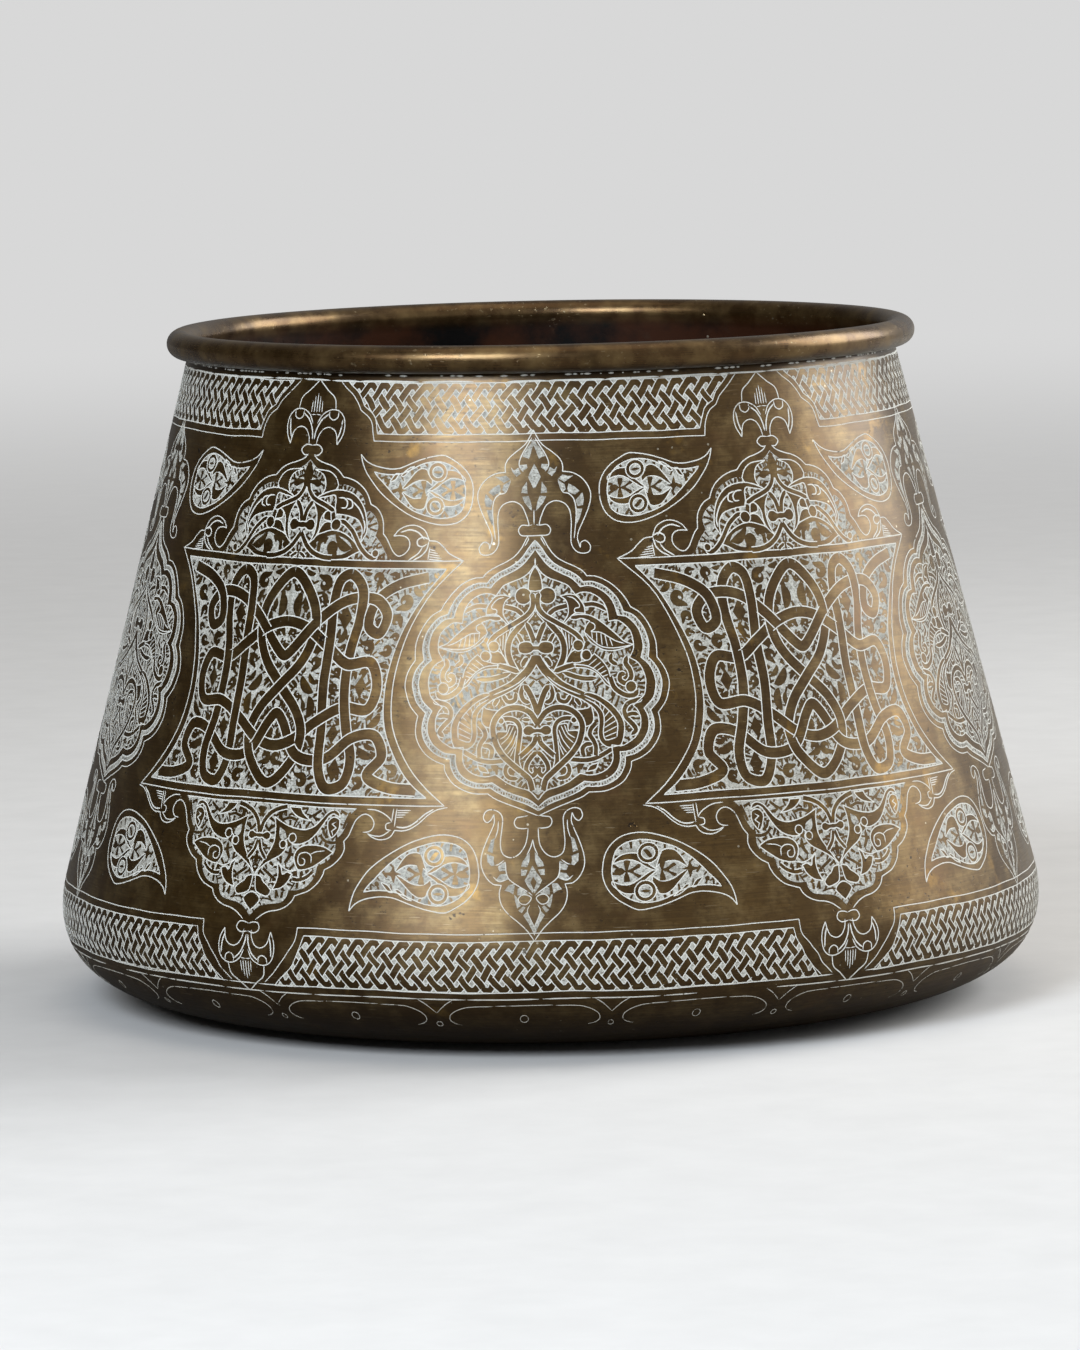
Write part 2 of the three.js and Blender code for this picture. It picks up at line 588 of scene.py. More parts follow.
@dataclass(frozen=True)
class BowlSection:
    """The bowl's section in millimetres, radius against height, the same as in the solids."""

    foot_radius: float = 148.2  # outside of the straight wall, where it meets the heel
    foot_height: float = 39.0
    standing_radius: float = 95.0
    heel_pull_out: float = 40.0
    heel_pull_down: float = 28.0
    flange_inner_radius: float = 82.0
    sheet: float = 1.3
    bead_centre_radius: float = 109.7
    bead_centre_height: float = 200.6
    bead_radius: float = 4.2
    skin: float = 0.08  # the metal lies this far inside the solids' faces, which leaves room for the paste
    flange_bend: float = 4.0  # the flange is flat up to this far inside the standing ring
    raw_edge: float = math.radians(-112)  # its angle round the bead's centre

    @property
    def curl_inner_radius(self) -> float:
        """Radius of the rolled rim's inside."""
        return self.bead_radius - self.sheet

    @property
    def lean(self) -> float:
        """The wall's lean from upright, which lets it flow into the rolled rim.

        Returns:
            The angle in radians.
        """
        run = self.foot_radius - self.bead_centre_radius
        rise = self.bead_centre_height - self.foot_height
        return math.atan2(run, rise) + math.asin(self.curl_inner_radius / math.hypot(run, rise))

    def heel(self, depth: float, steps: int) -> np.ndarray:
        """Gives the heel's section from the standing ring up to the wall's foot.

        Args:
            depth: How far inside the outer face it runs.
            steps: How many stretches it has.

        Returns:
            Radius and height for each point.
        """
        t = np.linspace(0, 1, steps + 1)[:, None]
        low = np.array([self.standing_radius, 0])
        pull = low + (self.heel_pull_out, 0)
        foot = np.array([self.foot_radius, self.foot_height])
        push = foot + self.heel_pull_down * np.array([math.sin(self.lean), -math.cos(self.lean)])
        path = (1 - t)**3 * low + 3 * (1 - t)**2 * t * pull + 3 * (1 - t) * t**2 * push + t**3 * foot
        along = (1 - t)**2 * (pull - low) + 2 * (1 - t) * t * (push - pull) + t**2 * (foot - push)
        along /= np.hypot(*along.T)[:, None]
        return path + depth * np.stack([-along[:, 1], along[:, 0]], -1)

    def curl(self, radius: float, end: np.ndarray | float, steps: int) -> np.ndarray:
        """Gives the rolled rim's arc from the wall over the top to the raw edge.

        Args:
            radius: Distance from the bead's centre.
            end: Angle of the raw edge, one number or one for each place round the bowl.
            steps: How many stretches it has.

        Returns:
            Radius and height, with the stretches along the first axis.
        """
        start = math.pi + self.lean
        share = np.linspace(0, 1, steps + 1).reshape(-1, *[1] * np.ndim(end))
        turn = start + share * (np.asarray(end) - start)
        return np.stack([self.bead_centre_radius + radius * np.cos(turn),
                         self.bead_centre_height + radius * np.sin(turn)], -1)

    def face(self, height: np.ndarray) -> tuple[np.ndarray, np.ndarray]:
        """Finds the outer face at given heights.

        Args:
            height: Heights on the heel or the wall.

        Returns:
            The radius there, and how far the face's normal points upwards, as an angle.
        """
        heel = self.heel(0, 400)
        rise = np.diff(heel, axis=0)
        tilt = np.arctan2(-rise[:, 0], rise[:, 1])
        middle = (heel[1:, 1] + heel[:-1, 1]) / 2
        radius = np.where(height >= self.foot_height,
                          self.foot_radius - math.tan(self.lean) * (height - self.foot_height),
                          np.interp(height, heel[:, 1], heel[:, 0]))
        return radius, np.where(height >= self.foot_height, self.lean, np.interp(height, middle, tilt))


@dataclass(frozen=True)
class HandWork:
    """How far the raised sheet strays from a true round: slow waves left by the hammer and by use.

    Each wave has its number of crests round the bowl, its phase, how much it turns with each millimetre of
    height, and its depth in millimetres. All go inwards, so the bowl never outgrows the solids.
    """

    waves: tuple[tuple[int, float, float, float], ...] = (
        (2, 0.4, 0.004, 0.30), (3, 2.0, -0.010, 0.18), (7, 1.1, 0.025, 0.09), (11, 4.0, -0.045, 0.07),
        (17, 0.5, 0.070, 0.045), (26, 2.6, -0.110, 0.025),
    )
    true_foot: float = 40.0  # the waves grow from nothing at the floor to their full depth at this height
    rim_dip: float = 0.5  # the rim lies this much lower at its lowest place
    rim_dip_low: float = 60.0  # the dip begins at this height
    rim_dip_high: float = 190.0
    rim_dip_azimuth: float = math.radians(-60)

    def settle(self, azimuth: np.ndarray, radius: np.ndarray, height: np.ndarray) -> np.ndarray:
        """Moves points of the true round to where the worked sheet has them.

        Args:
            azimuth: Angle round the bowl, from the camera's side to the right.
            radius: Distance from the axis in millimetres.
            height: Height in millimetres.

        Returns:
            Points in metres, one row each.
        """
        inwards = sum(depth * (1 + np.cos(crests * azimuth + phase + turn * height)) / 2
                      for crests, phase, turn, depth in self.waves)
        share = np.clip(height / self.true_foot, 0, 1)
        worked = radius - inwards * share
        rise = self.rim_dip_high - self.rim_dip_low
        slope = np.clip((height - self.rim_dip_low) / rise, 0, 1) ** 2
        lowered = height - self.rim_dip * slope * (1 + np.cos(azimuth - self.rim_dip_azimuth)) / 2
        return np.stack([worked * np.sin(azimuth), -worked * np.cos(azimuth), lowered], -1) * MM


def mesh_object(name: str, points: np.ndarray, faces: Sequence[Sequence[int]]) -> bpy.types.Object:
    """Makes a mesh object at the origin.

    Args:
        name: The piece's name.
        points: Points in metres.
        faces: Point numbers of each face.

    Returns:
        The object, linked to the scene, with smooth shading.
    """
    mesh = bpy.data.meshes.new(name)
    mesh.from_pydata(np.asarray(points).tolist(), [], np.asarray(faces).tolist())
    mesh.validate()
    mesh.shade_smooth()
    piece = bpy.data.objects.new(name, mesh)
    bpy.context.scene.collection.objects.link(piece)
    return piece


@dataclass(frozen=True)
class WallSheet:
    """The raised sheet: flange, heel, wall and rolled rim, one closed skin."""

    section: BowlSection
    hand: HandWork
    around: int = 360
    raw_edge_play: float = math.radians(7)  # how far the raw edge wanders under the rim

    def build(self) -> bpy.types.Object:
        """Makes the sheet's mesh, with the share of inside surface as an attribute.

        Returns:
            The sheet's object.
        """
        azimuth = np.linspace(0, FULL_TURN, self.around, endpoint=False)
        edge = self.section.raw_edge + self.raw_edge_play * self.raggedness(azimuth)
        rings = self.rings(edge)
        count = len(rings)
        turns = np.broadcast_to(azimuth, (count, self.around))
        points = self.hand.settle(turns, rings[..., 0], rings[..., 1]).reshape(-1, 3)
        ring, place = np.meshgrid(np.arange(count), np.arange(self.around), indexing="ij")
        ahead, right = (ring + 1) % count, (place + 1) % self.around
        faces = np.stack([ring * self.around + place, ring * self.around + right,
                          ahead * self.around + right, ahead * self.around + place], -1).reshape(-1, 4)
        piece = mesh_object("engraved_wall", points, faces)
        inner = np.repeat(self.inner_share(rings), self.around)
        piece.data.attributes.new("inner", "FLOAT", "POINT").data.foreach_set("value", inner)
        piece.data.set_sharp_from_angle(angle=math.radians(50))
        return piece

    def raggedness(self, azimuth: np.ndarray) -> np.ndarray:
        """Gives the raw edge's wandering, from -1 to 1."""
        waves = ((5, 0.3, 0.4), (13, 1.9, 0.3), (31, 4.4, 0.2), (67, 2.2, 0.1))
        return sum(depth * np.sin(crests * azimuth + phase) for crests, phase, depth in waves)

    def inner_share(self, rings: np.ndarray) -> np.ndarray:
        """Gives 1 for the section points on the bowl's inside, and 0 for its outside and its rim.

        Args:
            rings: The section's points for each place round the bowl.

        Returns:
            One number for each point of the section.
        """
        outer_count = int(np.argmax(rings[:, 0, 1]))
        height = rings[outer_count:, 0, 1]
        return np.r_[np.zeros(outer_count), np.clip((self.section.bead_centre_height - height) / 2.5, 0, 1)]

    def rings(self, edge: np.ndarray) -> np.ndarray:
        """Gives the section's points up the outside and down the inside, for each place round the bowl.

        Args:
            edge: Angle of the raw edge for each place round the bowl.

        Returns:
            Radius and height, with the section's points along the first axis.
        """
        s = self.section
        skin = s.skin
        outer_heel, inner_heel = s.heel(skin, 40), s.heel(s.sheet - skin, 24)[::-1]
        outer_curl = s.curl(s.curl_inner_radius + skin, edge, 16)
        inner_curl = s.curl(s.bead_radius - skin, edge, 36)[::-1]
        outer_wall = np.linspace(outer_heel[-1], outer_curl[0, 0], 60)[1:-1]
        inner_wall = np.linspace(inner_curl[-1, 0], inner_heel[0], 44)[1:-1]
        bend = s.standing_radius - s.flange_bend
        flange_low = [(s.flange_inner_radius, skin), (bend, skin)]
        flange_high = [(bend, s.sheet - skin), (s.flange_inner_radius, s.sheet - skin)]

        def all_round(path: Sequence[Point]) -> np.ndarray:
            """Repeats plain section points for each place round the bowl."""
            return np.broadcast_to(np.asarray(path)[:, None], (len(path), self.around, 2))

        worn = (outer_curl[-1:] + inner_curl[:1]) / 2
        worn = worn + (outer_curl[-1:] - outer_curl[-2:-1]) * 0.6
        outside = [all_round(path) for path in (flange_low, outer_heel, outer_wall)]
        back_down = [all_round(path) for path in (inner_wall, inner_heel, flange_high)]
        return np.vstack([*outside, outer_curl, worn, inner_curl, *back_down])


@dataclass(frozen=True)
class Motif:
    """A drawing, and how its paste goes round the bowl."""

    name: str
    drawing: Drawing
    bands: int = 1  # how many pieces, one above the other, the paste is shared out to
    count: int = FOLD
    first: float = 0.0  # azimuth of the first one's middle
    fixed_height: float | None = None  # where x is true to size; without it, x is true at every height


@dataclass(frozen=True)
class Inlay:
    """White paste in the cuts of a drawing, repeated round the bowl."""

    section: BowlSection
    hand: HandWork
    map_radius: float = 100.0  # the unrolled map has this many millimetres for one radian
    top: float = -0.03  # the paste's face and underside, measured outwards from the solids' face
    thickness: float = 0.35
    wobble: float = 0.26  # how far the hand strays from the drawing
    wobble_size: float = 17.0

    def build(self, motif: Motif, material: bpy.types.Material) -> list[bpy.types.Object]:
        """Fills a motif's cuts and lays them round the bowl.

        Args:
            motif: The pattern, centred on x = 0.
            material: The paste.

        Returns:
            The finished pieces, from the lowest up.
        """
        flat, triangles, lines = motif.drawing.paste_sheet()
        heights = flat[:, 1] if motif.fixed_height is None else np.full(len(flat), motif.fixed_height)
        angle = flat[:, 0] / self.section.face(heights)[0]
        unrolled = np.stack([angle * self.map_radius, np.zeros(len(flat)), flat[:, 1]], -1) * MM
        upwards = flat[triangles, 1].mean(1).argsort()
        pieces = []
        for number, band in enumerate(np.array_split(upwards, motif.bands), 1):
            name = f"{motif.name}_paste_{number}" if motif.bands > 1 else f"{motif.name}_paste"
            used, corners = np.unique(triangles[band], return_inverse=True)
            piece = mesh_object(name, unrolled[used], corners.reshape(-1, 3))
            piece.data.attributes.new("line", "FLOAT", "FACE").data.foreach_set("value", lines[band])
            self.repeat(piece, material, motif)
            self.wrap(piece.data)
            piece.data.shade_smooth()
            piece.data.set_sharp_from_angle(angle=math.radians(40))
            pieces.append(piece)
        return pieces

    def repeat(self, piece: bpy.types.Object, material: bpy.types.Material, motif: Motif) -> None:
        """Runs the inlay tree on a flat piece and keeps its result as the piece's mesh.

        Args:
            piece: The flat piece.
            material: The paste.
            motif: How often and where the piece is repeated.
        """
        tree = inlay_tree()
        modifier = piece.modifiers.new("inlay", "NODES")
        modifier.node_group = tree
        values = {
            "Count": motif.count,
            "First": motif.first * self.map_radius * MM,
            "Spacing": FULL_TURN / motif.count * self.map_radius * MM,
            "Thickness": self.thickness * MM,
            "Wobble": self.wobble * MM,
            "Wobble Scale": 1 / (self.wobble_size * MM),
            "Seed": 3.0,
            "Material": material,
        }
        for socket in tree.interface.items_tree:
            if socket.in_out == "INPUT" and socket.name in values:
                modifier[socket.identifier] = values[socket.name]
        graph = bpy.context.evaluated_depsgraph_get()
        result = bpy.data.meshes.new_from_object(piece.evaluated_get(graph))
        piece.modifiers.remove(modifier)
        piece.data = result
        result.name = piece.name

    def wrap(self, mesh: bpy.types.Mesh) -> None:
        """Lays the unrolled map's points on the bowl, with their depth kept.

        Args:
            mesh: The unrolled mesh, which is changed.
        """
        points = np.zeros(len(mesh.vertices) * 3)
        mesh.vertices.foreach_get("co", points)
        along, depth, height = points.reshape(-1, 3).T / MM
        radius, tilt = self.section.face(height)
        out = self.top - depth
        place = (radius + out * np.cos(tilt), height + out * np.sin(tilt))
        placed = self.hand.settle(along / self.map_radius, *place)
        mesh.vertices.foreach_set("co", placed.ravel())
        mesh.update()


def inlay_tree() -> bpy.types.NodeTree:
    """Gives the tree that repeats a flat pattern along X, lets the hand stray and gives it thickness.

    Returns:
        The tree, which is made at the first call.
    """
    existing = bpy.data.node_groups.get("repeated_inlay")
    if existing:
        return existing
    tree = bpy.data.node_groups.new("repeated_inlay", "GeometryNodeTree")
    sockets = (("Geometry", "Geometry"), ("Count", "Int"), ("First", "Float"), ("Spacing", "Float"),
               ("Thickness", "Float"), ("Wobble", "Float"), ("Wobble Scale", "Float"), ("Seed", "Float"),
               ("Material", "Material"))
    for name, kind in sockets:
        tree.interface.new_socket(name, in_out="INPUT", socket_type=f"NodeSocket{kind}")
    tree.interface.new_socket("Geometry", in_out="OUTPUT", socket_type="NodeSocketGeometry")
    given = add_node(tree, "NodeGroupInput").outputs

    start = add_node(tree, "ShaderNodeCombineXYZ", inputs={"X": given["First"]})
    step = add_node(tree, "ShaderNodeCombineXYZ", inputs={"X": given["Spacing"]})
    places = add_node(tree, "GeometryNodeMeshLine", inputs={
        "Count": given["Count"], "Start Location": start.outputs[0], "Offset": step.outputs[0]})
    copies = add_node(tree, "GeometryNodeInstanceOnPoints", inputs={
        "Points": places.outputs[0], "Instance": given["Geometry"]})
    real = add_node(tree, "GeometryNodeRealizeInstances", inputs={0: copies.outputs[0]})

    stray = add_node(tree, "ShaderNodeTexNoise", {"noise_dimensions": "4D"}, {
        "W": given["Seed"], "Scale": given["Wobble Scale"], "Detail": 1.0})
    centred = add_node(tree, "ShaderNodeVectorMath", {"operation": "SUBTRACT"}, {
        0: stray.outputs["Color"], 1: (0.5, 0.5, 0.5)})
    in_plane = add_node(tree, "ShaderNodeVectorMath", {"operation": "MULTIPLY"}, {
        0: centred.outputs[0], 1: (4.0, 0.0, 4.0)})
    offset = add_node(tree, "ShaderNodeVectorMath", {"operation": "SCALE"}, {
        0: in_plane.outputs[0], "Scale": given["Wobble"]})
    worked = add_node(tree, "GeometryNodeSetPosition", inputs={
        "Geometry": real.outputs[0], "Offset": offset.outputs[0]})

    deep = add_node(tree, "ShaderNodeCombineXYZ", inputs={"Y": given["Thickness"]})
    extruded = add_node(tree, "GeometryNodeExtrudeMesh", {"mode": "FACES"}, {
        "Mesh": worked.outputs[0], "Offset": deep.outputs[0], "Offset Scale": 1.0, "Individual": False})
    face = add_node(tree, "GeometryNodeFlipFaces", inputs={0: worked.outputs[0]})
    both = add_node(tree, "GeometryNodeJoinGeometry", inputs={0: extruded.outputs[0]})
    tree.links.new(face.outputs[0], both.inputs[0])
    closed = add_node(tree, "GeometryNodeMergeByDistance", inputs={0: both.outputs[0], "Distance": 1e-7})
    coated = add_node(tree, "GeometryNodeSetMaterial", inputs={
        "Geometry": closed.outputs[0], "Material": given["Material"]})
    add_node(tree, "NodeGroupOutput", inputs={0: coated.outputs[0]})
    return tree


# Ornament

@dataclass(frozen=True)
class PlaitBand:
    """A band of flat over-and-under plait, cut off in an ogee beside each finial.

    Straps cross at every second point of a lattice, and turn along both borders with flat tops.
    """

    low: float
    high: float
    end: tuple[Point, ...]  # right end of the plait, from its lower corner up
    frame_line: tuple[Point, ...]  # right half of the line that runs round it, from the middle out
    half_pitch: float = 2.22
    rows: int = 5
    strap: float = 1.85
    wander: float = 0.2  # how far the graver's hand strays

    def draw(self) -> Drawing:
        """Draws one panel of the plait, centred on x = 0.

        Returns:
            The drawing.
        """
        drawing = Drawing(line=0.25, strap_width=self.strap, seed=11)
        right = curve(self.end)
        panel = self.strayed(subdivided(np.vstack([right, (right * (-1, 1))[::-1]])))
        drawing.ground(np.vstack([panel, panel[:1]]))
        columns = math.ceil(panel[:, 0].max() / self.half_pitch) + 2 * self.rows
        columns += columns % 2
        for column in range(-columns, columns, 2):
            self.strap_line(drawing, column, [(0.6, 0.6), (4.4, 4.4)], -1)
        for column in range(-columns, columns, 2):
            for row, side in ((0, 1), (self.rows, -1)):
                turn = [(-0.95, 0.95), (-0.32, 0.32), (0.32, 0.32), (0.95, 0.95)]
                self.strap_line(drawing, column + row % 2, [(i, row + side * j) for i, j in turn])
        for column in range(-columns, columns, 2):
            self.strap_line(drawing, column, [(0.6, 0.6), (4.4, 4.4)])
        for column in range(-columns, columns, 2):
            for row in range(1, self.rows, 2):
                self.strap_line(drawing, column + row, [(-0.42, row + 0.42), (0.42, row - 0.42)])
        drawing.clip(panel)
        drawing.groove(np.vstack([panel, panel[:1]]))
        line = curve(self.frame_line)
        drawing.groove(self.strayed(np.vstack([(line * (-1, 1))[::-1], line])))
        return drawing

    def strayed(self, path: np.ndarray) -> np.ndarray:
        """Lets a path stray in slow waves, as a line drawn by hand does.

        Args:
            path: Points along the path.

        Returns:
            The moved points.
        """
        x, z = path.T
        return path + self.wander * np.stack([np.sin(0.23 * x + 0.5 * z) + 0.6 * np.sin(0.71 * x - 0.9 * z),
                                              0.7 * np.sin(0.09 * x + 1) + 0.3 * np.sin(0.33 * x)], -1)

    def strap_line(self, drawing: Drawing, column: int, places: Sequence[Point], slope: int = 1) -> None:
        """Draws a stretch of strap.

        Args:
            drawing: The drawing it goes into.
            column: The lattice column that its places are counted from.
            places: Columns and rows that it passes.
            slope: -1 counts the rows from the top.
        """
        rise = (self.high - self.low) / self.rows
        rows = [row if slope > 0 else self.rows - row for _, row in places]
        start = column if slope > 0 else column + 1
        knots = np.array([((start + i) * self.half_pitch, self.low + row * rise)
                          for (i, _), row in zip(places, rows)])
        place = np.linspace(0, len(knots) - 1, 8 * (len(knots) - 1) + 1)
        path = np.stack([np.interp(place, np.arange(len(knots)), axis) for axis in knots.T], -1)
        width = self.strap * drawing.random.uniform(0.88, 1.1)
        drawing.strap(self.strayed(path), width, ticked=False)


UPPER_PLAIT_END = ((47.6, 179.1), (48, 181.5), (49.6, 184.8), (52.8, 187), (52.8, 187), (54.4, 190),
                   (59.1, 194))
UPPER_PLAIT_FRAME = ((0, 177), (30, 177), (48.8, 177), (48.8, 177), (49.5, 181.5), (51, 184), (53.7, 185.7),
                     (53.7, 185.7), (55.5, 188.8), (61.8, 194))
LOWER_PLAIT_END = ((84.5, 21.4), (79, 26.5), (76.5, 30), (75, 33), (74.3, 36.2))
LOWER_PLAIT_FRAME = ((0, 38.4), (30, 38.4), (76.5, 38.4), (76.5, 38.4), (77.3, 34), (79.5, 31), (82, 28),
                     (84.5, 24.8), (88, 22))


@dataclass(frozen=True)
class Medallion:
    """The lobed medallion: lines and a hatched border round an arabesque, with a pendant above and below.

    All points are for the right half. The left half is its mirror image.
    """

    outline: tuple[Point, ...] = (
        (0, 152.3), (2.1, 150), (3.9, 146.8), (5.9, 144.4), (8.3, 142.8), (11.2, 141.5), (13.9, 139.9),
        (15.1, 138.5), (15.1, 138.5), (18, 138.2), (21.5, 136.5), (24.5, 133.8), (26.5, 131.2),
        (27.7, 129.1), (27.7, 129.1), (30.4, 127.5), (32.4, 125.3), (34.2, 122.1), (35.2, 119.1),
        (35.4, 114.8), (35.4, 114.8), (36.8, 112.9), (38, 110.6), (38.7, 107.6), (38.3, 104.7),
        (37.4, 102.1), (35.2, 99.3), (35.2, 99.3), (35.8, 96.8), (35.8, 93.8), (34.8, 91.2), (32.7, 88.5),
        (30.1, 86.8), (27.1, 85.7), (27.1, 85.7), (27, 84.1), (26.2, 82.4), (24.5, 80.3), (21.5, 78.5),
        (18.6, 77.6), (14.6, 77.5), (14.6, 77.5), (12.7, 76.2), (9.8, 75), (5.4, 73.4), (0, 71.2))
    field_outline: tuple[Point, ...] = (
        (0, 142.2), (1.8, 139.7), (3.9, 138.2), (6.8, 137.1), (9.2, 136), (10.6, 134.4), (11.5, 133.2),
        (11.5, 133.2), (13.3, 133.8), (15.6, 133.7), (18, 132.6), (19.8, 130.9), (20.9, 128.8),
        (21.3, 125.5), (21.3, 125.5), (23.9, 125.6), (26.2, 124.1), (27.7, 122.4), (28.4, 120),
        (28.4, 117.4), (27.1, 115), (27.1, 115), (29.2, 113.8), (30.6, 112.1), (31.6, 109), (31.5, 107),
        (30.9, 104.4), (27.7, 101.6), (27.7, 101.6), (28.9, 100.3), (29.8, 98.2), (29.8, 95.3),
        (28.6, 92.9), (26.8, 91.5), (24.5, 90.4), (21.5, 90.7), (21.5, 90.7), (21.7, 87.1), (20.9, 85),
        (19.2, 83.5), (16.8, 82.6), (14.5, 82.4), (12.1, 82.9), (12.1, 82.9), (10.1, 81.5), (8.9, 80.6),
        (6.2, 79.4), (2.4, 78.2), (0, 75.6))

    def draw(self) -> Drawing:
        """Draws the medallion with the pendant above it, centred on x = 0.

        Returns:
            The drawing.
        """
        drawing = Drawing(line=0.28, tick_pitch=1.75, both_sides=True, seed=5)
        drawing.groove(self.outline)
        outside, inside_edge = (between(self.outline, self.field_outline, share) for share in (0.32, 0.58))
        drawing.ground(np.vstack([outside, inside_edge[::-1]]))
        drawing.specks(outside, inside_edge)
        drawing.groove(outside)
        drawing.groove(inside_edge)
        field_edge = curve(self.field_outline)
        drawing.ground(field_edge)
        drawing.tick_row(field_edge[::-1], np.full(len(field_edge), 0.2))
        drawing.groove([(0, 144), (0.1, 143), (0, 141.8)])
        self.lower_field(drawing)
        self.middle_field(drawing)
        self.upper_field(drawing)
        drawing.groove(field_edge)
        self.upper_pendant(drawing)
        return drawing

    def upper_field(self, d: Drawing) -> None:
        """Draws the straps and leaves above the medallion's middle.

        Args:
            d: The medallion's drawing.
        """
        d.leaf([(0, 141.6), (0.8, 140.4), (1.5, 138.8), (1.9, 136.8), (2, 134.8), (2, 134.8), (0, 134.4),
                (0, 134.4)])
        d.leaf(curve([
            (10, 126.3), (9.8, 127.3), (9.8, 127.3), (12.7, 127.6), (15.4, 127.4), (18, 126.2),
            (20.9, 124.1), (23.6, 121.8), (25.9, 119.7), (28.4, 118.7), (28.4, 118.7), (25.6, 117.8),
            (22.7, 117.3), (19.8, 117.6), (17.4, 118.8), (15.6, 120), (14.5, 121.5), (13.9, 122.9),
            (13.9, 122.9), (14.7, 124.7), (15.6, 125.7), (15.6, 125.7), (13.2, 126.5), (11.4, 126.1),
            (10, 126.3)], True))
        d.groove([(14.2, 122.5), (16.2, 120.6), (18.6, 118.8), (21.5, 118.1), (24.5, 118.1), (28, 118.6)],
                  0.3)
        d.groove([(15.6, 125.5), (17, 124.8), (17.1, 123.6), (16, 122.8), (18.6, 122.6), (20.2, 121.9),
                  (23.3, 120), (25.9, 119.1)], 0.3)
        d.veins([(16.2, 122.6), (16.4, 120.8)], [(17.7, 122.6), (17.7, 119.6)],
                [(19, 122.4), (19.3, 118.9)], [(20.2, 121.8), (20.9, 118.5)],
                [(21.6, 120.9), (22.4, 118.5)])
        d.strap([(14.4, 130.3), (17, 130.4), (19.4, 129.5), (20.7, 128.4)], 1.1, (0, 1.5))
        d.strap([(3.4, 127.5), (5.5, 129.2), (8.8, 130.1)], 1.2, (0.8, 0))
        d.leaf(curve([
            (7.5, 125), (9.2, 127.6), (9.3, 130), (8.6, 131.8), (7, 132.9), (7, 132.9), (9.4, 133.4),
            (11.6, 133), (13.2, 131.4), (14.2, 129.6), (14.3, 127.9), (14.3, 127.9), (11.2, 127.9),
            (8.2, 125.2), (7.5, 125), (7.5, 125)], True))
        d.groove([(9, 132.8), (11, 132.2), (12.7, 130.4), (12.6, 129.6), (11.4, 129.3), (11.2, 128.4),
                  (12.2, 127.9)], 0.3)
        d.disc((3.4, 133.1), 2.4)
        d.strap([(1, 134), (0.6, 132), (0.9, 129.6), (2.4, 127.6), (4.5, 126.2), (7.1, 124.7), (9.8, 123.2),
                 (11.8, 121.8), (13, 120.2), (13, 118.7)], 1.25, (0.5, 0.5))
        d.disc((12, 118.9), 1.6)

    def middle_field(self, d: Drawing) -> None:
        """Draws the knot on the axis, the almond round it and the leaves at its right.

        Args:
            d: The medallion's drawing.
        """
        d.leaf([(7.2, 124.2), (9.8, 122.6), (11.4, 120.8), (10.2, 118.2), (9.2, 116), (8.3, 113.2),
                (8.6, 117), (8.2, 120.5)], ticked=False)
        d.veins([(8.3, 122.8), (8.9, 117.4)], [(9.3, 122.3), (9.4, 117.8)], [(10.3, 121.4), (10, 118.9)])
        d.strap([(0.8, 129), (3, 126.3), (5.1, 123.8), (6.8, 121.8), (7.7, 119.7), (7.9, 117.6),
                 (7.5, 115.3), (6.6, 113.4), (5, 111.6)], 1.5, (0.5, 3))
        d.strap([(0.5, 120.3), (1.5, 123), (2.7, 125.6)], 1.3, (0, 1))
        d.strap([(3.6, 119.6), (4.7, 121.6), (5.3, 122.4)], 1.0, (0, 0.8))
        d.strap([(2.2, 115.6), (3.3, 114.6), (4.1, 113)], 1.2, (0.8, 0.8))
        d.leaf([(0, 118.9), (0.7, 118.9), (0.7, 118.9), (1.4, 119.8), (3, 120.1), (4.5, 119.6), (5, 118.3),
                (4.4, 117), (2.7, 116.6), (1.3, 117), (0.6, 117.6), (0, 117.6), (0, 117.6)])
        d.leaf([
            (11, 114.2), (14.3, 114.7), (16.8, 116.6), (16.8, 116.6), (19.1, 114.6), (20.8, 112),
            (21.6, 109.2), (23, 106.6), (23, 106.6), (20.2, 107.6), (17.6, 110.8), (14.5, 112.4),
            (11, 112.6), (11, 112.6)])
        d.groove([(9, 113.4), (12, 113.5), (15, 113), (17.4, 111.6), (19.4, 109.6), (21.4, 107.4)], 0.3)
        d.veins([(15, 113.2), (17.5, 115.2)], [(16.3, 112.4), (18.7, 114.1)], [(17.4, 111.6), (19.6, 113)],
                [(18.2, 110.7), (20.3, 111.7)], [(18.9, 109.9), (20.8, 110.5)])
        d.leaf(curve([(8.2, 113.9), (9.2, 116.2), (10.6, 117.5), (13.2, 117.6), (13.2, 117.6),
                      (12.7, 116.2), (12.9, 114.3), (8.2, 113.9), (8.2, 113.9)], True))
        d.disc((14.4, 116.2), 1.5)
        d.strap([(5, 111.6), (8, 112.7), (10.6, 113.4)], 1.3, (0.8, 0))
        d.strap([(7.4, 111.4), (11, 110.1), (14, 109.5), (17.4, 109.6)], 1.2, (1.5, 1.5))
        d.strap([(26.4, 115.6), (25.9, 113.5), (27.1, 111.6), (27.4, 109.5), (25.9, 107.9), (24.2, 108.8),
                 (24.4, 110.4), (25.8, 110.4)], 1.3, (1, 0.6))
        d.strap([(21.3, 109.8), (22.4, 106.9), (24.4, 105.2), (26.4, 104.4), (28.3, 104.6), (29.3, 106)],
                 1.3, (0, 1))
        d.disc((27.3, 106.9), 1.6)
        d.strap([(22, 116.6), (21.6, 114.6), (23.6, 113)], 1.1, (0.8, 0.8))

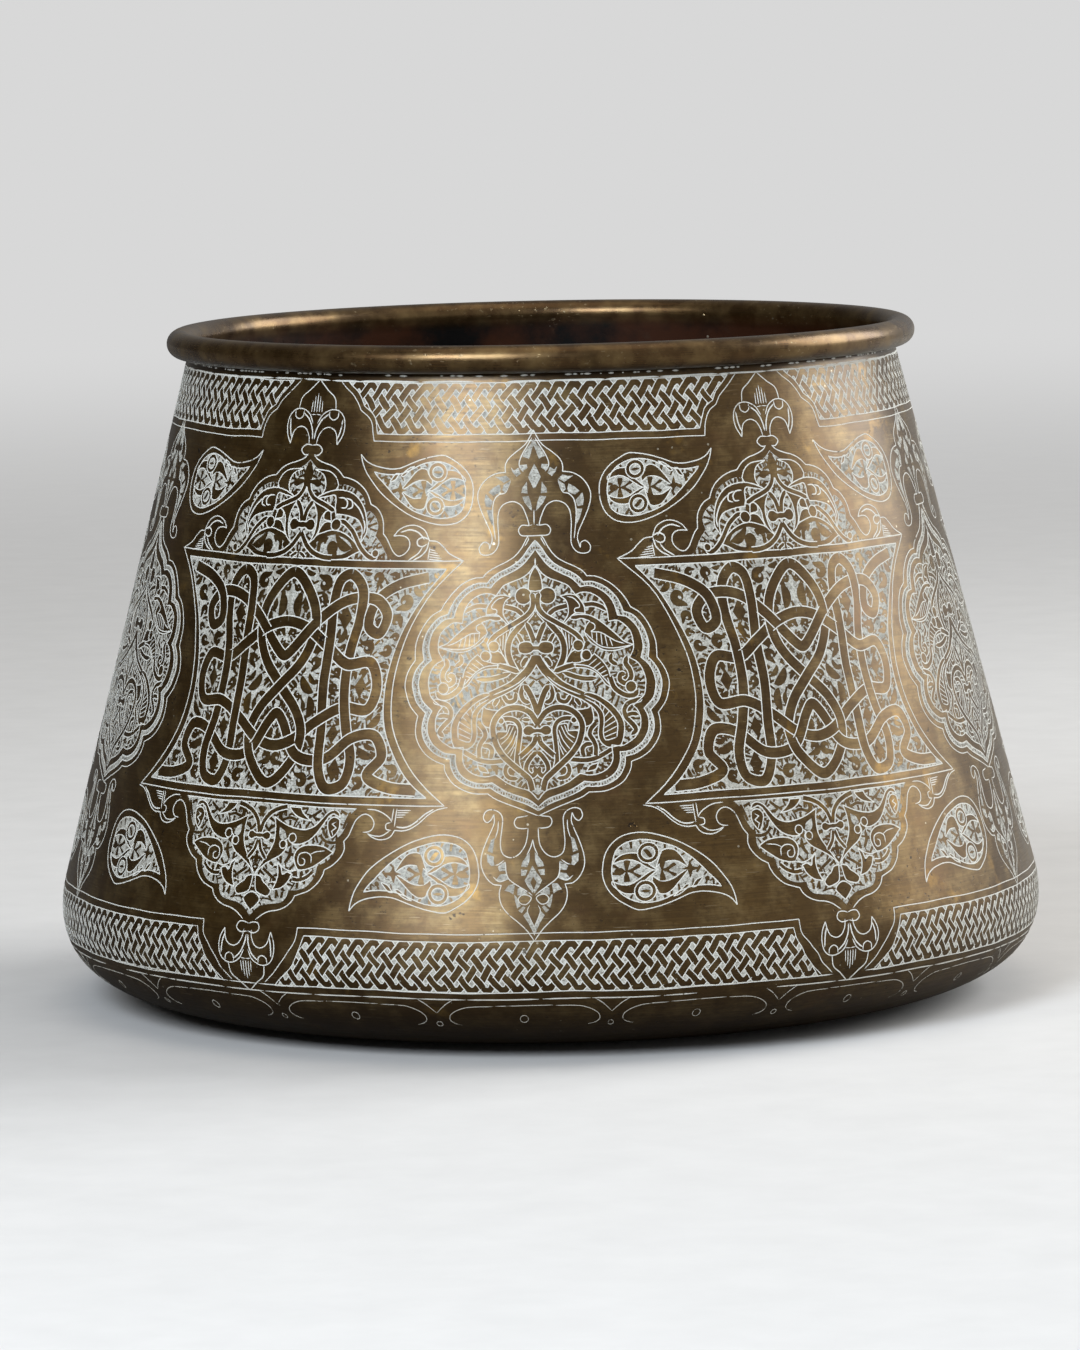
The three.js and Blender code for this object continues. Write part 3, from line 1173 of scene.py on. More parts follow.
    def lower_field(self, d: Drawing) -> None:
        """Draws the heart, the S-shaped straps and their ribbed half-palmettes.

        Args:
            d: The medallion's drawing.
        """
        d.strap([(30.3, 103.4), (28.6, 103), (26.2, 102.2), (25.1, 100.3), (25.7, 98.2), (27.4, 96.5),
                 (28.6, 94.7), (27.2, 93.4)], 1.2, (0.5, 0.8))
        d.strap([(26, 99), (27.5, 99.3), (29.2, 98.9)], 1.1, (0, 0.8))
        d.strap([(9.8, 86.8), (13.3, 86.5), (16.2, 86.9), (18.6, 87.9), (21.4, 89.5)], 1.2)
        d.leaf(curve([(13.9, 83.4), (15.1, 85), (17.4, 85.8), (17.4, 85.8), (16.6, 84), (13.9, 83.4),
                      (13.9, 83.4)], True))
        d.strap([(16.8, 97), (15.4, 95.4), (15.1, 93.8), (16.2, 92.1), (16.9, 90.3), (16.8, 87.8)], 1.2)
        d.strap([(15.9, 91.1), (14.2, 91.1), (13.1, 89.9), (13.3, 87.9)], 1.2, (0.6, 0))
        d.strap([(6, 105.9), (6.4, 103.8), (8.4, 103.3), (9.8, 105.2)], 1.1, (0.6, 0.6))
        d.strap([(3.7, 108), (4.5, 105.6), (3.8, 103.7), (2.1, 103)], 1.2, (0.4, 0.8))
        d.strap([(11, 104.2), (12, 103), (12.4, 102)], 1.1, (0.5, 0.5))
        d.leaf(curve([
            (12.5, 103.9), (14, 105.6), (16.8, 105.1), (19.2, 103.8), (21.9, 101.7), (24.2, 98.8),
            (25.2, 96), (24.9, 92.3), (24.2, 90.6), (24.2, 90.6), (20.4, 90.1), (18.2, 91.8), (17.5, 94.1),
            (17.7, 97.4), (17.3, 99.7), (15.6, 101.8), (12.5, 103.9), (12.5, 103.9)], True))
        d.groove([(13.6, 105), (17.6, 103), (20.4, 100.6), (22.6, 97.9), (23.2, 96), (23, 92.8)], 0.3)
        d.groove([(13.8, 104), (17, 102.2), (18.9, 99.8), (19.2, 97.4), (19, 94.2), (19.8, 92.2),
                  (23, 92.9)], 0.3)
        d.veins([(16.6, 103.2), (16.8, 102)], [(18, 102.6), (18.3, 101.2)], [(19.4, 101.6), (18.8, 99.9)],
                [(20.9, 100.4), (19.3, 98.6)], [(22, 99), (19.4, 97)], [(22.8, 97.6), (19.3, 95.6)],
                [(23.1, 96), (19.2, 94.2)], [(23.1, 94.4), (19.4, 93)])
        d.strap([(0, 116.2), (0.7, 114.6), (2.4, 112), (4.8, 109.7), (6.9, 107.9), (9.8, 106.4),
                 (13.4, 104.8)], 2.1, (0.5, 0))
        d.groove([(3, 110.4), (5.4, 108.4), (8.6, 106.7), (12.6, 105.1)], 0.3)
        d.strap([(0, 99.6), (0.9, 102.9), (2.3, 106.2), (3.6, 108)], 1.5, (0, 0.8))
        d.leaf(curve([(10.4, 100.8), (14.5, 101.2), (15.6, 102), (15.6, 102), (16.2, 98.2), (15.4, 96.6),
                      (13.3, 95.9), (13.3, 95.9), (12.4, 99), (10.4, 100.8), (10.4, 100.8)], True))
        d.leaf(curve([
            (6.2, 96.8), (8.5, 97), (8.9, 95), (8.9, 95), (11.8, 94.8), (11.3, 92.2), (9.6, 89.4),
            (8, 87.2), (6.6, 86.2), (6.2, 89.4), (5.8, 92.4), (5.6, 95.3), (6.2, 96.8), (6.2, 96.8)], True),
            ticked=False)
        d.veins([(7.8, 96.6), (8.9, 94.2), (10.9, 92.9)], [(6.8, 96.5), (8.3, 93.5), (10.5, 91.5)],
                [(6.2, 95.3), (7.4, 92.4), (9.5, 89.8)], [(5.9, 94), (6.8, 91.2), (8.6, 88.7)],
                [(6.4, 90.9), (7.7, 88)])
        d.strap([(2.2, 98.2), (4.4, 98.4)], 0.9, (0.6, 0.6))
        d.strap([(10.7, 98), (9.2, 98.6), (6.8, 98.3), (5.4, 97.1), (4.9, 95.3), (5.2, 92.4), (5.6, 89.4),
                 (5.8, 86.5), (5.1, 84.1)], 1.15)
        d.disc((10.5, 98), 0.9, ticked=False)
        d.strap([(0.4, 93.8), (0.9, 91.8), (2.7, 89.9), (4.9, 88)], 1.3, (0.5, 0))
        d.strap([(0.1, 89.3), (1.8, 87.6), (3, 85.6), (3.1, 83.8), (1.6, 82.4), (0.5, 83.4), (0.8, 85)],
                 1.2, (0.5, 0.5))
        d.leaf([(0, 95.8), (0.9, 95.8), (1.8, 96.5), (3.2, 96.5), (4.1, 95.4), (3.7, 94.2), (2.3, 93.8),
                (1.1, 94.4), (0, 94.6), (0, 94.6)])
        d.strap([(6.4, 85.6), (8.6, 85.4), (9.2, 83.6), (8.2, 82), (5.6, 81.6)], 1.1, (0.5, 0.8))
        d.strap([
            (0, 97.2), (0.8, 98.4), (2.4, 100.4), (5.1, 101.6), (8, 101.5), (10.3, 100.5), (12.1, 98.5),
            (12.9, 96.2), (12.6, 93.5), (11.7, 90.9), (9.8, 88.2), (7.4, 85.9), (4.5, 83.4), (2.5, 81.6),
            (1.9, 80), (1.6, 78.4)], 1.5)

    def upper_pendant(self, d: Drawing) -> None:
        """Draws the pendant between the medallion and the upper plait.

        Args:
            d: The medallion's drawing.
        """
        d.leaf([
            (0, 180.2), (0.8, 178.6), (2.4, 176.1), (5.4, 173.8), (7.4, 172), (8.3, 170.2), (8.3, 168.2),
            (8.3, 168.2), (10.9, 167.9), (13.3, 166.7), (15.2, 164.6), (16.2, 162.3), (16.2, 160.2),
            (15.4, 157.3), (13.9, 153.8), (12.7, 151.1), (12.4, 149.1), (13.2, 146.6), (13.2, 146.6),
            (13.4, 148), (14.8, 148.5), (16.2, 147), (15.9, 145.4), (14.3, 144.9), (12.1, 145.5),
            (10.6, 147.6), (10.5, 151.1), (10.6, 154), (10.1, 157.3), (8.6, 159.2), (5.9, 159.9),
            (3.6, 158.8), (2.3, 156.4), (1.5, 153.8), (1.5, 153.2), (1.5, 153.2), (3.6, 153.3),
            (4.6, 151.9), (3.9, 150.5), (1.3, 150.3), (1.3, 150.3), (0, 150.3), (0, 150.3)], ticked=False)
        d.groove([(1.5, 153.2), (0.5, 153.4)])
        d.groove([(1.7, 150), (1.9, 149.2), (3, 147.4)], 0.3)
        d.groove([(0, 157.6), (0, 155.4), (0, 153.4)], 0.3)
        d.groove([(6.9, 166), (7.6, 163.8), (8.4, 162.3), (10, 161.9), (11.4, 160.4), (12, 157.6),
                  (11.9, 153.4), (11.4, 149.2)], 0.3)
        d.groove([(0.4, 178), (1.6, 176), (3.3, 173.4), (4.3, 171), (4.2, 169.6), (3.2, 168.2)], 0.3)
        d.pockets(
            [(0, 177.6), (1, 176), (2.1, 174.7), (3, 173.4), (3.3, 172.5), (2.4, 172.3), (1.5, 171.8),
             (1, 173), (0.3, 175.2), (0, 175.6)],
            [(2.2, 170.3), (4.1, 170.2), (4.3, 169.3), (3.4, 168.5), (2, 169.3)],
            [(4.6, 169.5), (5.9, 168.7), (6.7, 169.6), (6.3, 168.2), (5.2, 166.9), (3.9, 167.8),
             (4.3, 168.6)],
            [(0, 170.4), (0.7, 169.2), (1.9, 166.7), (1.2, 165.4), (0.3, 163.6), (0, 163.6)],
            [(2.2, 165.4), (3.5, 163.6), (3.7, 162.3), (1.9, 162.1), (2.1, 163.8)],
            [(1.6, 161.4), (3.4, 161.2), (2.7, 159.6), (1.4, 158), (0.5, 157.2), (0.9, 159.6)],
            [(8.2, 167.3), (9.8, 166.9), (11.3, 167), (9.7, 165.9), (8.8, 165.2), (7, 166.2)],
            [(6.9, 165.8), (8.8, 164.6), (9.2, 163.2), (8.3, 162.3), (7.5, 163.8)],
            [(10, 164.8), (11.8, 163.8), (13.1, 162.6), (11.8, 161.6), (9.9, 162.3), (9.6, 163.4)],
            [(13.9, 162.2), (14.3, 160.2), (14, 158.6), (12.5, 158.3), (11.9, 160), (12.8, 161)],
            [(13.8, 157.6), (13.2, 155.4), (12.3, 153.4), (11.9, 153.4), (12.1, 156), (12.2, 157.6)])

    def lower_pendant(self) -> Drawing:
        """Draws the pendant between the medallion and the lower plait, centred on x = 0.

        Returns:
            The drawing.
        """
        d = Drawing(line=0.28, both_sides=True, seed=6)
        d.pockets(
            [(0.7, 61.2), (1.7, 60), (2.9, 58.4), (3.3, 57.2), (1.5, 57), (0.8, 58.8)],
            [(1.5, 56.2), (3.4, 56.4), (3.4, 54.6), (2.2, 54.7)],
            [(0, 57.4), (1.1, 55.4), (2.5, 53.2), (1.6, 51.4), (0.2, 49.5), (0, 50.4), (0.9, 52.6),
             (0, 54.3)],
            [(5.2, 52.3), (6.9, 52.1), (8.2, 50.5), (6.7, 50.1), (5.7, 49.3)],
            [(1.7, 49.5), (3.7, 51.3), (4.5, 50.9), (4.6, 49.1), (3.3, 49)],
            [(5.4, 49.3), (5.2, 47.5), (4.6, 45.4), (3.6, 46.1), (4.3, 47.4), (4.6, 48.4)],
            [(4.3, 44.8), (3.4, 44.1), (2.3, 45.6), (2.9, 46.1)],
            [(1.9, 44.6), (3, 43.4), (1.5, 41.1), (0, 37.8), (0, 40.4), (1.2, 42.7)],
            [(11.1, 65.2), (12.2, 64.6), (13.1, 61.5), (11.6, 61), (11.4, 63)],
            [(11.2, 60), (13.3, 60.7), (13.1, 58.6), (11.9, 57.4), (11, 57.5), (11.3, 58.8)],
            [(7.9, 58.6), (9.3, 57.9), (10.1, 57.1), (9.6, 56), (7.8, 56.2)],
            [(7.7, 55.3), (9.5, 55.1), (10.8, 53.3), (8.9, 53.1), (7.1, 53.7)])
        d.groove([
            (0, 36.2), (1.1, 37.9), (2.5, 39.7), (4.7, 41.8), (7, 43.7), (8.7, 45.8), (9.5, 48),
            (9.6, 50.2), (9.1, 52), (9.1, 52), (11.5, 52.4), (13.7, 54.6), (14.9, 57.7), (14.7, 60.8),
            (13.5, 64.3), (12, 67.5), (11.2, 69.6), (11.4, 71.8), (11.4, 71.8), (12.2, 70.3), (13.4, 69.6),
            (14.4, 70.9), (13.7, 72.7), (11.8, 73.2), (9.6, 72.2), (8.8, 70.5), (9.1, 67.4), (9.4, 64.3),
            (9.1, 61.8), (8.2, 60.4), (6.1, 59.7), (3.9, 60.6), (2.3, 62.8), (1.7, 65.2), (1.5, 68)])
        d.groove([(1.6, 67.9), (3.2, 67.8), (4.9, 68.2), (5.5, 69.5), (4.8, 70.8), (3, 71.1), (1.6, 71.4)])
        d.groove([(10, 70), (10.2, 67.5), (11, 65)])
        d.groove([(0, 64.8), (0.5, 62.6), (1.6, 60.3)])
        d.groove([(7.8, 58.6), (7.7, 55.8), (6.9, 53.7), (4.6, 51.9), (2, 50.2), (0.4, 48.9)])
        d.groove([(7.4, 53.7), (9.7, 53.1), (11.5, 54.5)])
        d.groove([(10.9, 57.6), (9.8, 57.9), (8.2, 59)])
        d.leaf([(0.7, 48.1), (1.6, 49), (3.2, 49.1), (4.3, 48), (3.6, 46.7), (2, 46.5)], ticked=False)
        d.groove([(1.1, 46.3), (1.8, 44.8), (1.4, 43.2), (0, 40.3)], 0.24)
        return d


@dataclass(frozen=True)
class Teardrops:
    """Four curled teardrops round each medallion, filled with a chain of crossed flowers."""

    outline: tuple[Point, ...] = (
        (-20.9, 173.2), (-22.5, 171.4), (-24.7, 170.2), (-27.5, 169.5), (-30.2, 169.2), (-32.9, 169.5),
        (-35.6, 170.5), (-39.3, 171.8), (-42.9, 172.7), (-46.1, 173), (-48.8, 171.8), (-51.5, 170),
        (-53.6, 167.5), (-54.7, 164.5), (-54.7, 161.4), (-54, 158.4), (-52.5, 155.9), (-50.2, 154.1),
        (-47, 153.3), (-43.8, 153.4), (-40.2, 154.3), (-36.5, 155.7), (-32.9, 157.7), (-29.3, 160.2),
        (-26.5, 162.7), (-24.3, 165.5), (-22.5, 168.2), (-21.4, 170.9), (-20.9, 173.2), (-20.9, 173.2))
    field_outline: tuple[Point, ...] = (
        (-25, 168.3), (-27, 167.8), (-30.2, 167.6), (-33.4, 168), (-36.5, 169.1), (-39.3, 170.4),
        (-42, 171.1), (-45.2, 171.2), (-48.4, 170.1), (-50.6, 168.4), (-52, 165.9), (-52.5, 163.2),
        (-52.2, 160), (-51.3, 157.5), (-49.3, 155.9), (-46.5, 155.2), (-43.8, 155.2), (-40.2, 156.1),
        (-36.5, 157.5), (-32.9, 160), (-30.2, 162.5), (-27.9, 165), (-26.1, 166.8), (-25, 168.3),
        (-25, 168.3))
    middle: Point = (-42.0, 163.3)

    def draw(self) -> Drawing:
        """Draws all four round a medallion at x = 0.

        Returns:
            The drawing.
        """
        drawing = Drawing(both_sides=True, seed=21, tick_pitch=2.6)
        self.put(drawing, (1.02, 1.0), (31.2, 163.3))
        self.put(drawing, (1.17, -1.1), (32.8, 54.9))
        return drawing

    def put(self, d: Drawing, scale: Point, place: Point) -> None:
        """Draws one teardrop, turned over and moved to its place.

        Args:
            d: The drawing it goes into.
            scale: Size across and up; a negative number mirrors it.
            place: Where the middle of the round end goes.
        """
        def at(points: Sequence[Point]) -> np.ndarray:
            """Runs a curve through points that are moved to this teardrop's place."""
            return (curve(points) - self.middle) * scale + place

        d.groove(at(self.outline), closed=True)
        field_edge = at(self.field_outline)
        d.ground(field_edge)
        d.tick_edge(field_edge)
        for leaf in (
                [(-52.4, 165.6), (-50.5, 166.4), (-48.4, 166.6), (-46.6, 165.8), (-44.6, 164.4),
                 (-42.6, 163.2), (-41, 162.9), (-42.4, 164), (-44, 165.3), (-45.4, 166.9), (-46.4, 168.7),
                 (-49.2, 168.8), (-51, 167.8), (-52.4, 166.4)],
                [(-52.2, 161.2), (-50.4, 160.5), (-48, 160.3), (-46, 160.9), (-44.4, 162), (-42.4, 163),
                 (-41.2, 163.1), (-43, 161.8), (-44.8, 160.2), (-46, 158.8), (-47.8, 158.5), (-50, 158.9),
                 (-51.6, 160)],
                [(-42.4, 164.6), (-40.8, 165.8), (-39, 166), (-37, 165.4), (-35.2, 164.2), (-33.2, 163.2),
                 (-34.4, 164.8), (-36, 166.6), (-37.6, 168.3), (-39.4, 169.3), (-41, 169), (-41.6, 167.6),
                 (-42.6, 166)],
                [(-41.6, 162.6), (-40.6, 161.6), (-38.8, 161), (-36.6, 161), (-35, 161.8), (-33.2, 163),
                 (-34.2, 161.4), (-35.4, 159.6), (-36.8, 158.2), (-38.6, 157.7), (-40, 158.1),
                 (-40.6, 159.2), (-41, 160.6)],
                [(-37.4, 170), (-35.6, 168.6), (-34, 167.2), (-33.2, 167.4), (-34.8, 168.9),
                 (-36.2, 169.7)],
                [(-32.6, 168), (-31.4, 166.2), (-29.8, 165.6), (-30.4, 166.6), (-31.6, 167.9)]):
            d.leaf(at(leaf + leaf[:1]), ticked=False)
        for middle, bar in (((-44.3, 168.3), [(-1.4, 0), (0, 0.4), (1.3, 0), (0, -0.4)]),
                            ((-43.5, 158.6), [(-1.3, -0.8), (0.3, 1.2), (1.1, 0.9), (-0.2, -0.9)])):
            ring = (circle(middle, 2.15) - self.middle) * scale + place
            d.strap(np.vstack([ring, ring[:2]]), 0.9, ticked=False)
            d.bare(at([(middle[0] + i, middle[1] + j) for i, j in bar + bar[:1]]))
        upright = [(-0.75, 2.7), (0.75, 2.6), (0.6, 1.3), (0.2, 0.2), (0.5, -1.1), (0.85, -2.6),
                   (-0.7, -2.7), (-0.65, -1.3), (-0.3, 0.1), (-0.65, 1.2)]
        right = [(0.2, 0.15), (1.6, 0.75), (2.9, 1.8), (3.6, 1.2), (1.7, 0.1), (3.5, -1.1), (2.9, -1.8),
                 (1.4, -0.75), (0.2, -0.25)]
        left = [(-0.3, 0.2), (-1.4, 0.9), (-2.6, 0.8), (-3.1, 0), (-2.6, -0.8), (-1.4, -0.9), (-0.3, -0.1)]
        for x, leaves in ((-48.8, (upright, right, left)), (-40.0, (upright, right))):
            for leaf in leaves:
                d.bare(at([(x + i, 163.2 + j) for i, j in leaf + leaf[:1]]))
        d.bare(at([
            (-33.6, 163.6), (-32.9, 165.6), (-32.3, 163.9), (-32.3, 163.9), (-30.2, 163.2), (-30.2, 163.2),
            (-32.3, 162.6), (-33, 160.9), (-33, 160.9), (-33.6, 162.7), (-35.2, 163.2), (-35.2, 163.2),
            (-33.6, 163.6)]))
        d.bare(circle(tuple(at([(-28.6, 166), (-28.6, 166.1)])[0]), 0.75))
        d.groove(field_edge)


@dataclass(frozen=True)
class Cartouche:
    """The large cartouche between two medallions: two domes, two finials and a panel of interlaced straps.

    The domes' points are for the left half, all others for the right. The other half is the mirror image.
    """

    top_line: float = 143.0
    bottom_line: float = 74.0
    line_gap: float = 2.2

    def draw(self) -> Drawing:
        """Draws the cartouche, centred on x = 0.

        Returns:
            The drawing.
        """
        drawing = Drawing(both_sides=True, seed=33)
        top, bottom = self.top_line, self.bottom_line
        for height, reach in ((top, 54.2), (bottom, 58.6)):
            drawing.groove([(0, height), (30, height), (reach, height)])
        drawing.groove([(54, top), (47.6, 136.6), (43.6, 130.6), (40.3, 122.6), (38.2, 114), (37.6, 106),
                        (38.6, 98.6), (41.6, 91), (46, 84.8), (51.6, 79.2), (58.4, bottom)])
        self.upper_dome(drawing)
        self.lower_dome(drawing)
        self.finial(drawing, 1, 0, 1)
        self.finial(drawing, -1, 212.6, 0.97)
        return drawing

    def upper_dome(self, d: Drawing) -> None:
        """Draws the dome of lobes on the upper line, with its horns.

        Args:
            d: The cartouche's drawing.
        """
        floor = self.top_line
        field_edge = curve([
            (0, 171.4), (-1.8, 169.8), (-4, 168.7), (-7.5, 168.2), (-9.4, 167.2), (-10.6, 165.9),
            (-11.4, 164.2), (-11.4, 164.2), (-13.6, 164.4), (-16.5, 163.6), (-19.3, 161.9), (-20.9, 159.6),
            (-21.2, 157.6), (-21.2, 157.6), (-23.4, 156.7), (-25.3, 155), (-26.3, 152.7), (-25.9, 149.9),
            (-25.9, 149.9), (-27.4, 148.4), (-28.8, 146.6), (-30.2, 144.4), (-32, floor), (-32, floor),
            (0, floor), (0, floor)])
        d.ground(field_edge)
        d.tick_edge(field_edge)
        d.leaf([
            (-2.3, 168.7), (-4.4, 168.6), (-7.5, 168.2), (-9.4, 167.2), (-10.6, 165.9), (-11.4, 164.2),
            (-11.4, 164.2), (-10.6, 162.9), (-7.6, 162.2), (-5.8, 161.4), (-5.8, 161.4), (-6.7, 163),
            (-6.8, 165), (-5.6, 167.2)])
        d.leaf([
            (-3.4, 160), (-5.6, 161.3), (-8.4, 162.4), (-11.1, 162.9), (-14.3, 162.7), (-17, 161.8),
            (-19, 160.3), (-20.6, 158.3), (-21.8, 155.8), (-22.6, 153), (-22.8, 150.8), (-21.4, 147.8),
            (-21.4, 147.8), (-21.3, 151.5), (-19.7, 154.1), (-17.5, 155.1), (-14.3, 155.8), (-11.8, 156),
            (-11.8, 156), (-11.2, 158.2), (-11.2, 160.2), (-10.5, 161.4), (-8.4, 161.1), (-5.6, 160.6)])
        d.groove([(-12, 160.7), (-14, 160.6), (-15.2, 159.4), (-14.9, 157.9), (-13.2, 157.8)], 0.4)
        d.groove([(-17, 159.6), (-19.3, 157.6), (-20.8, 155.4), (-22, 152.6), (-21.9, 150.4)], 0.4)
        d.groove([(-14.6, 160.6), (-16.6, 159.8), (-16.9, 158), (-15.4, 157.4)], 0.4)
        d.leaf([
            (-21.8, 145.6), (-19, 148.3), (-15.6, 150.4), (-12, 151.3), (-9, 151), (-5.8, 149.6),
            (-3.6, 147.6), (-2.6, 146.2), (-5.4, 144.3), (-8.8, 143.2), (-12.2, 142.9), (-17, 143.4),
            (-19.8, 144.8), (-21.8, 145.6)])
        d.fill([(-18.9, 146.1), (-17.5, 148.1), (-14.7, 149.4), (-12.5, 150), (-9.7, 149.4), (-7, 148.1),
                (-5, 146.8), (-6.3, 145.4), (-8.8, 144.6), (-12, 144.3), (-15.6, 144.5), (-18.9, 146.1)])
        d.bare(circle((-12, 146.3), 1.95))
        d.bare([(-10.8, 145.6), (-10.7, 143.9), (-13.6, 143.9), (-13.4, 145.6), (-10.8, 145.6)])
        d.bare([(-18.9, 146.1), (-16.4, 148), (-14.7, 149), (-13.4, 150.1), (-12.7, 150), (-13.4, 147.6),
                (-14.6, 145.8), (-16.6, 145.2), (-18.9, 146.1)])
        d.bare([(-10.4, 149.1), (-9.3, 147.2), (-8.7, 147.8), (-9.3, 149.5), (-10.4, 149.1)])
        d.bare([(-9, 149.4), (-6.8, 148.2), (-6.6, 145.1), (-7.7, 145.1), (-7.9, 147.2), (-9.2, 148.2),
                (-9, 149.4)])
        d.bare([(-6, 147.8), (-5, 146.8), (-5.5, 145.6), (-6.4, 146.6), (-6, 147.8)])
        d.strap([(-12.4, 153), (-14.4, 153.8), (-16.5, 152.6), (-18.4, 150.9), (-20.2, 148.3), (-22, 146),
                 (-24.3, 144.1), (-25.8, 143.7), (-27, 144.4)], 1.15, (0, 0.5))
        d.leaf(circle((-26.4, 145), 1.1))
        d.leaf([(-12.2, 151.4), (-10.4, 153.6), (-8.2, 153.4), (-6.9, 151.8), (-6.4, 150.2), (-8.2, 150.6),
                (-10.4, 151.2), (-12.2, 151.4)], ticked=False)
        d.leaf([(-10.6, 153.9), (-9.8, 156.6), (-8.6, 156.9), (-7.6, 155.8), (-7.9, 154.4), (-10.6, 153.9)])
        d.leaf(circle((-12.4, 152.9), 1.7))
        d.leaf([
            (-9.4, 157.4), (-7, 158.6), (-3.6, 159.6), (-2.2, 161.2), (-1.4, 161.2), (-3.2, 159.1),
            (-4.6, 156.8), (-5.2, 154.2), (-5.1, 151.6), (-4.5, 149.4), (-3.2, 147.2), (-3.2, 147.2),
            (-5.4, 149.2), (-6.4, 151.4), (-6.6, 154.2), (-7.6, 156.2)], ticked=False)
        d.strap([(-1.1, 167), (-0.7, 164.6), (-1.2, 162.6), (-2.9, 160.6), (-5, 159.5), (-8.2, 158.3),
                 (-11, 156.9)], 1.2, (1, 0.5))
        d.bare([(-1.2, 165.5), (-2.4, 165.7), (-3.6, 165.9), (-5, 165.2), (-5.2, 164.2), (-3.8, 163.6),
                (-2.4, 164.3), (-1.2, 164.7)])
        d.bare([(-3.5, 166.6), (-4.3, 167.9), (-4.9, 167.5), (-4.2, 166.4)])
        d.bare([(-3.9, 162.9), (-5.2, 161.6), (-4.6, 161.3), (-3.3, 162.3)])
        d.bare([(0, 171.2), (-1, 169.6), (-1.8, 167.2), (-1.3, 165.2), (-0.3, 163.6), (0, 163.6)])
        d.strap([(0, 150.4), (-1.2, 148.6), (-3, 146.4), (-5.6, 144.6), (-8.8, 143.6), (-12, 143.4)], 1.3)
        d.strap([(-0.3, 153.4), (-1.2, 157), (-3.1, 159.6)], 1.3, (0, 0.8))
        d.leaf(curve([(0, 153.5), (-1.2, 153.4), (-2.4, 154.2), (-3.9, 154.1), (-4.8, 152.6), (-4, 151.1),
                      (-2.4, 151), (-1.2, 151.7), (0, 151.6), (0, 151.6)]))
        d.strap([(-0.4, 144.6), (-1.6, 144), (-2.6, 143.2)], 0.9, (0.5, 0))

        d.groove([(0, 175.4), (-2.4, 175.5), (-3.9, 174.1), (-2.6, 172.7), (-1.2, 172.8)])
        outline = curve([
            (-1.1, 172.9), (-2.4, 171.7), (-5.2, 170.6), (-7.9, 169.9), (-10.6, 168.5), (-12.7, 166.5),
            (-12.7, 166.5), (-14.7, 166.2), (-17.5, 165.2), (-20.2, 163.3), (-21.8, 161.3), (-22.9, 159),
            (-22.9, 159), (-24.9, 158), (-26.6, 156.2), (-27.7, 154), (-28.3, 150.6), (-28.3, 150.6),
            (-29.5, 149.4), (-30.8, 147.4), (-32, 145.6), (-33.8, 144.4), (-35.6, 145), (-36.9, 146.8),
            (-36.7, 148.8), (-35.4, 150), (-33.6, 150.3), (-31.7, 150.1), (-31.7, 150.1), (-33, 151.9),
            (-35, 153), (-37.4, 153.3), (-39.8, 152.6), (-41.4, 151.4), (-42.8, 148.9), (-42.8, 148.9),
            (-45.2, 148.6), (-47.4, 147), (-49.6, 145), (-54, floor), (-54, floor)])
        d.groove(outline)
        d.groove([(-33.6, 151.2), (-36.3, 152), (-38.8, 151.4), (-40.6, 150), (-41.2, 149.2)], 0.4)
        d.groove([(-42.6, 149.2), (-40.8, 149.9), (-39.2, 149.1), (-39.4, 147.7), (-40.8, 147.2),
                  (-42.2, 148)], 0.4)
        d.groove([(-42.7, 148.8), (-42.2, 146.2), (-40.8, 144.5), (-38.4, floor + 0.2)], 0.4)
        d.groove([(-40.9, 147), (-39.8, 145.2), (-37, floor + 0.2)], 0.4)
        d.groove([(-43.2, 147.2), (-43, floor + 0.3)], 0.3)
        for k in range(5):
            d.groove([(-43.2, 146.4 - 0.7 * k), (-45.2 - 0.7 * k, 145.9 - 0.7 * k)], 0.32, tips=(0.5, 1))

    def lower_dome(self, d: Drawing) -> None:
        """Draws the dome that hangs from the lower line, with its horns.

        Args:
            d: The cartouche's drawing.
        """
        roof = self.bottom_line - 1.2
        field_edge = curve([
            (-31.6, roof), (-29.6, 70.5), (-29.1, 68), (-27.6, 65.2), (-26.1, 64), (-26.1, 64),
            (-26.6, 61.8), (-26.1, 59.5), (-24.4, 57.6), (-21.3, 56), (-21.3, 56), (-21.1, 54),
            (-19.9, 51.5), (-17.9, 49.8), (-15.2, 49), (-12.7, 49), (-12.7, 49), (-12.4, 47.2),
            (-10.9, 45.5), (-8.2, 44.9), (-4.4, 44.3), (-2.2, 43.2), (0, 41), (0, 41), (0, roof), (0, roof),
            (-31.6, roof), (-31.6, roof)])
        d.ground(field_edge)
        d.tick_row(field_edge[::-1], np.full(len(field_edge), 0.1))
        d.groove([(0, roof), (-12, roof), (-31.8, roof)])
        d.leaf([(-17.4, 68.7), (-14.8, 69.1), (-12.6, 69.8), (-10.8, 71.1), (-9.9, 72.3), (-9.9, 72.3),
                (-13.6, 72.3), (-13.6, 72.3), (-14.4, 71), (-15.8, 69.8)])
        for path in ([(-13, 68.6), (-10.6, 69.2), (-8.6, 68.7), (-6.8, 67.8)],
                     [(-20.6, 72.1), (-19, 70.9), (-18, 69.6)],
                     [(-30, 71.9), (-29, 69.4), (-28.2, 66.9)],
                     [(-27.9, 63.6), (-25.6, 62.9), (-23, 63.3), (-21.2, 64.8)],
                     [(-24, 64.2), (-22.4, 65.4), (-21.9, 67)],
                     [(-8.8, 71.2), (-7.3, 70.5), (-6.4, 69.4)]):
            d.strap(path, 0.85, (0.4, 0.5), lined=False)
        d.strap([(-9, 72.3), (-6.2, 71.6), (-3.4, 70.2), (-1.2, 67.8), (-0.2, 64.6)], 1.2)
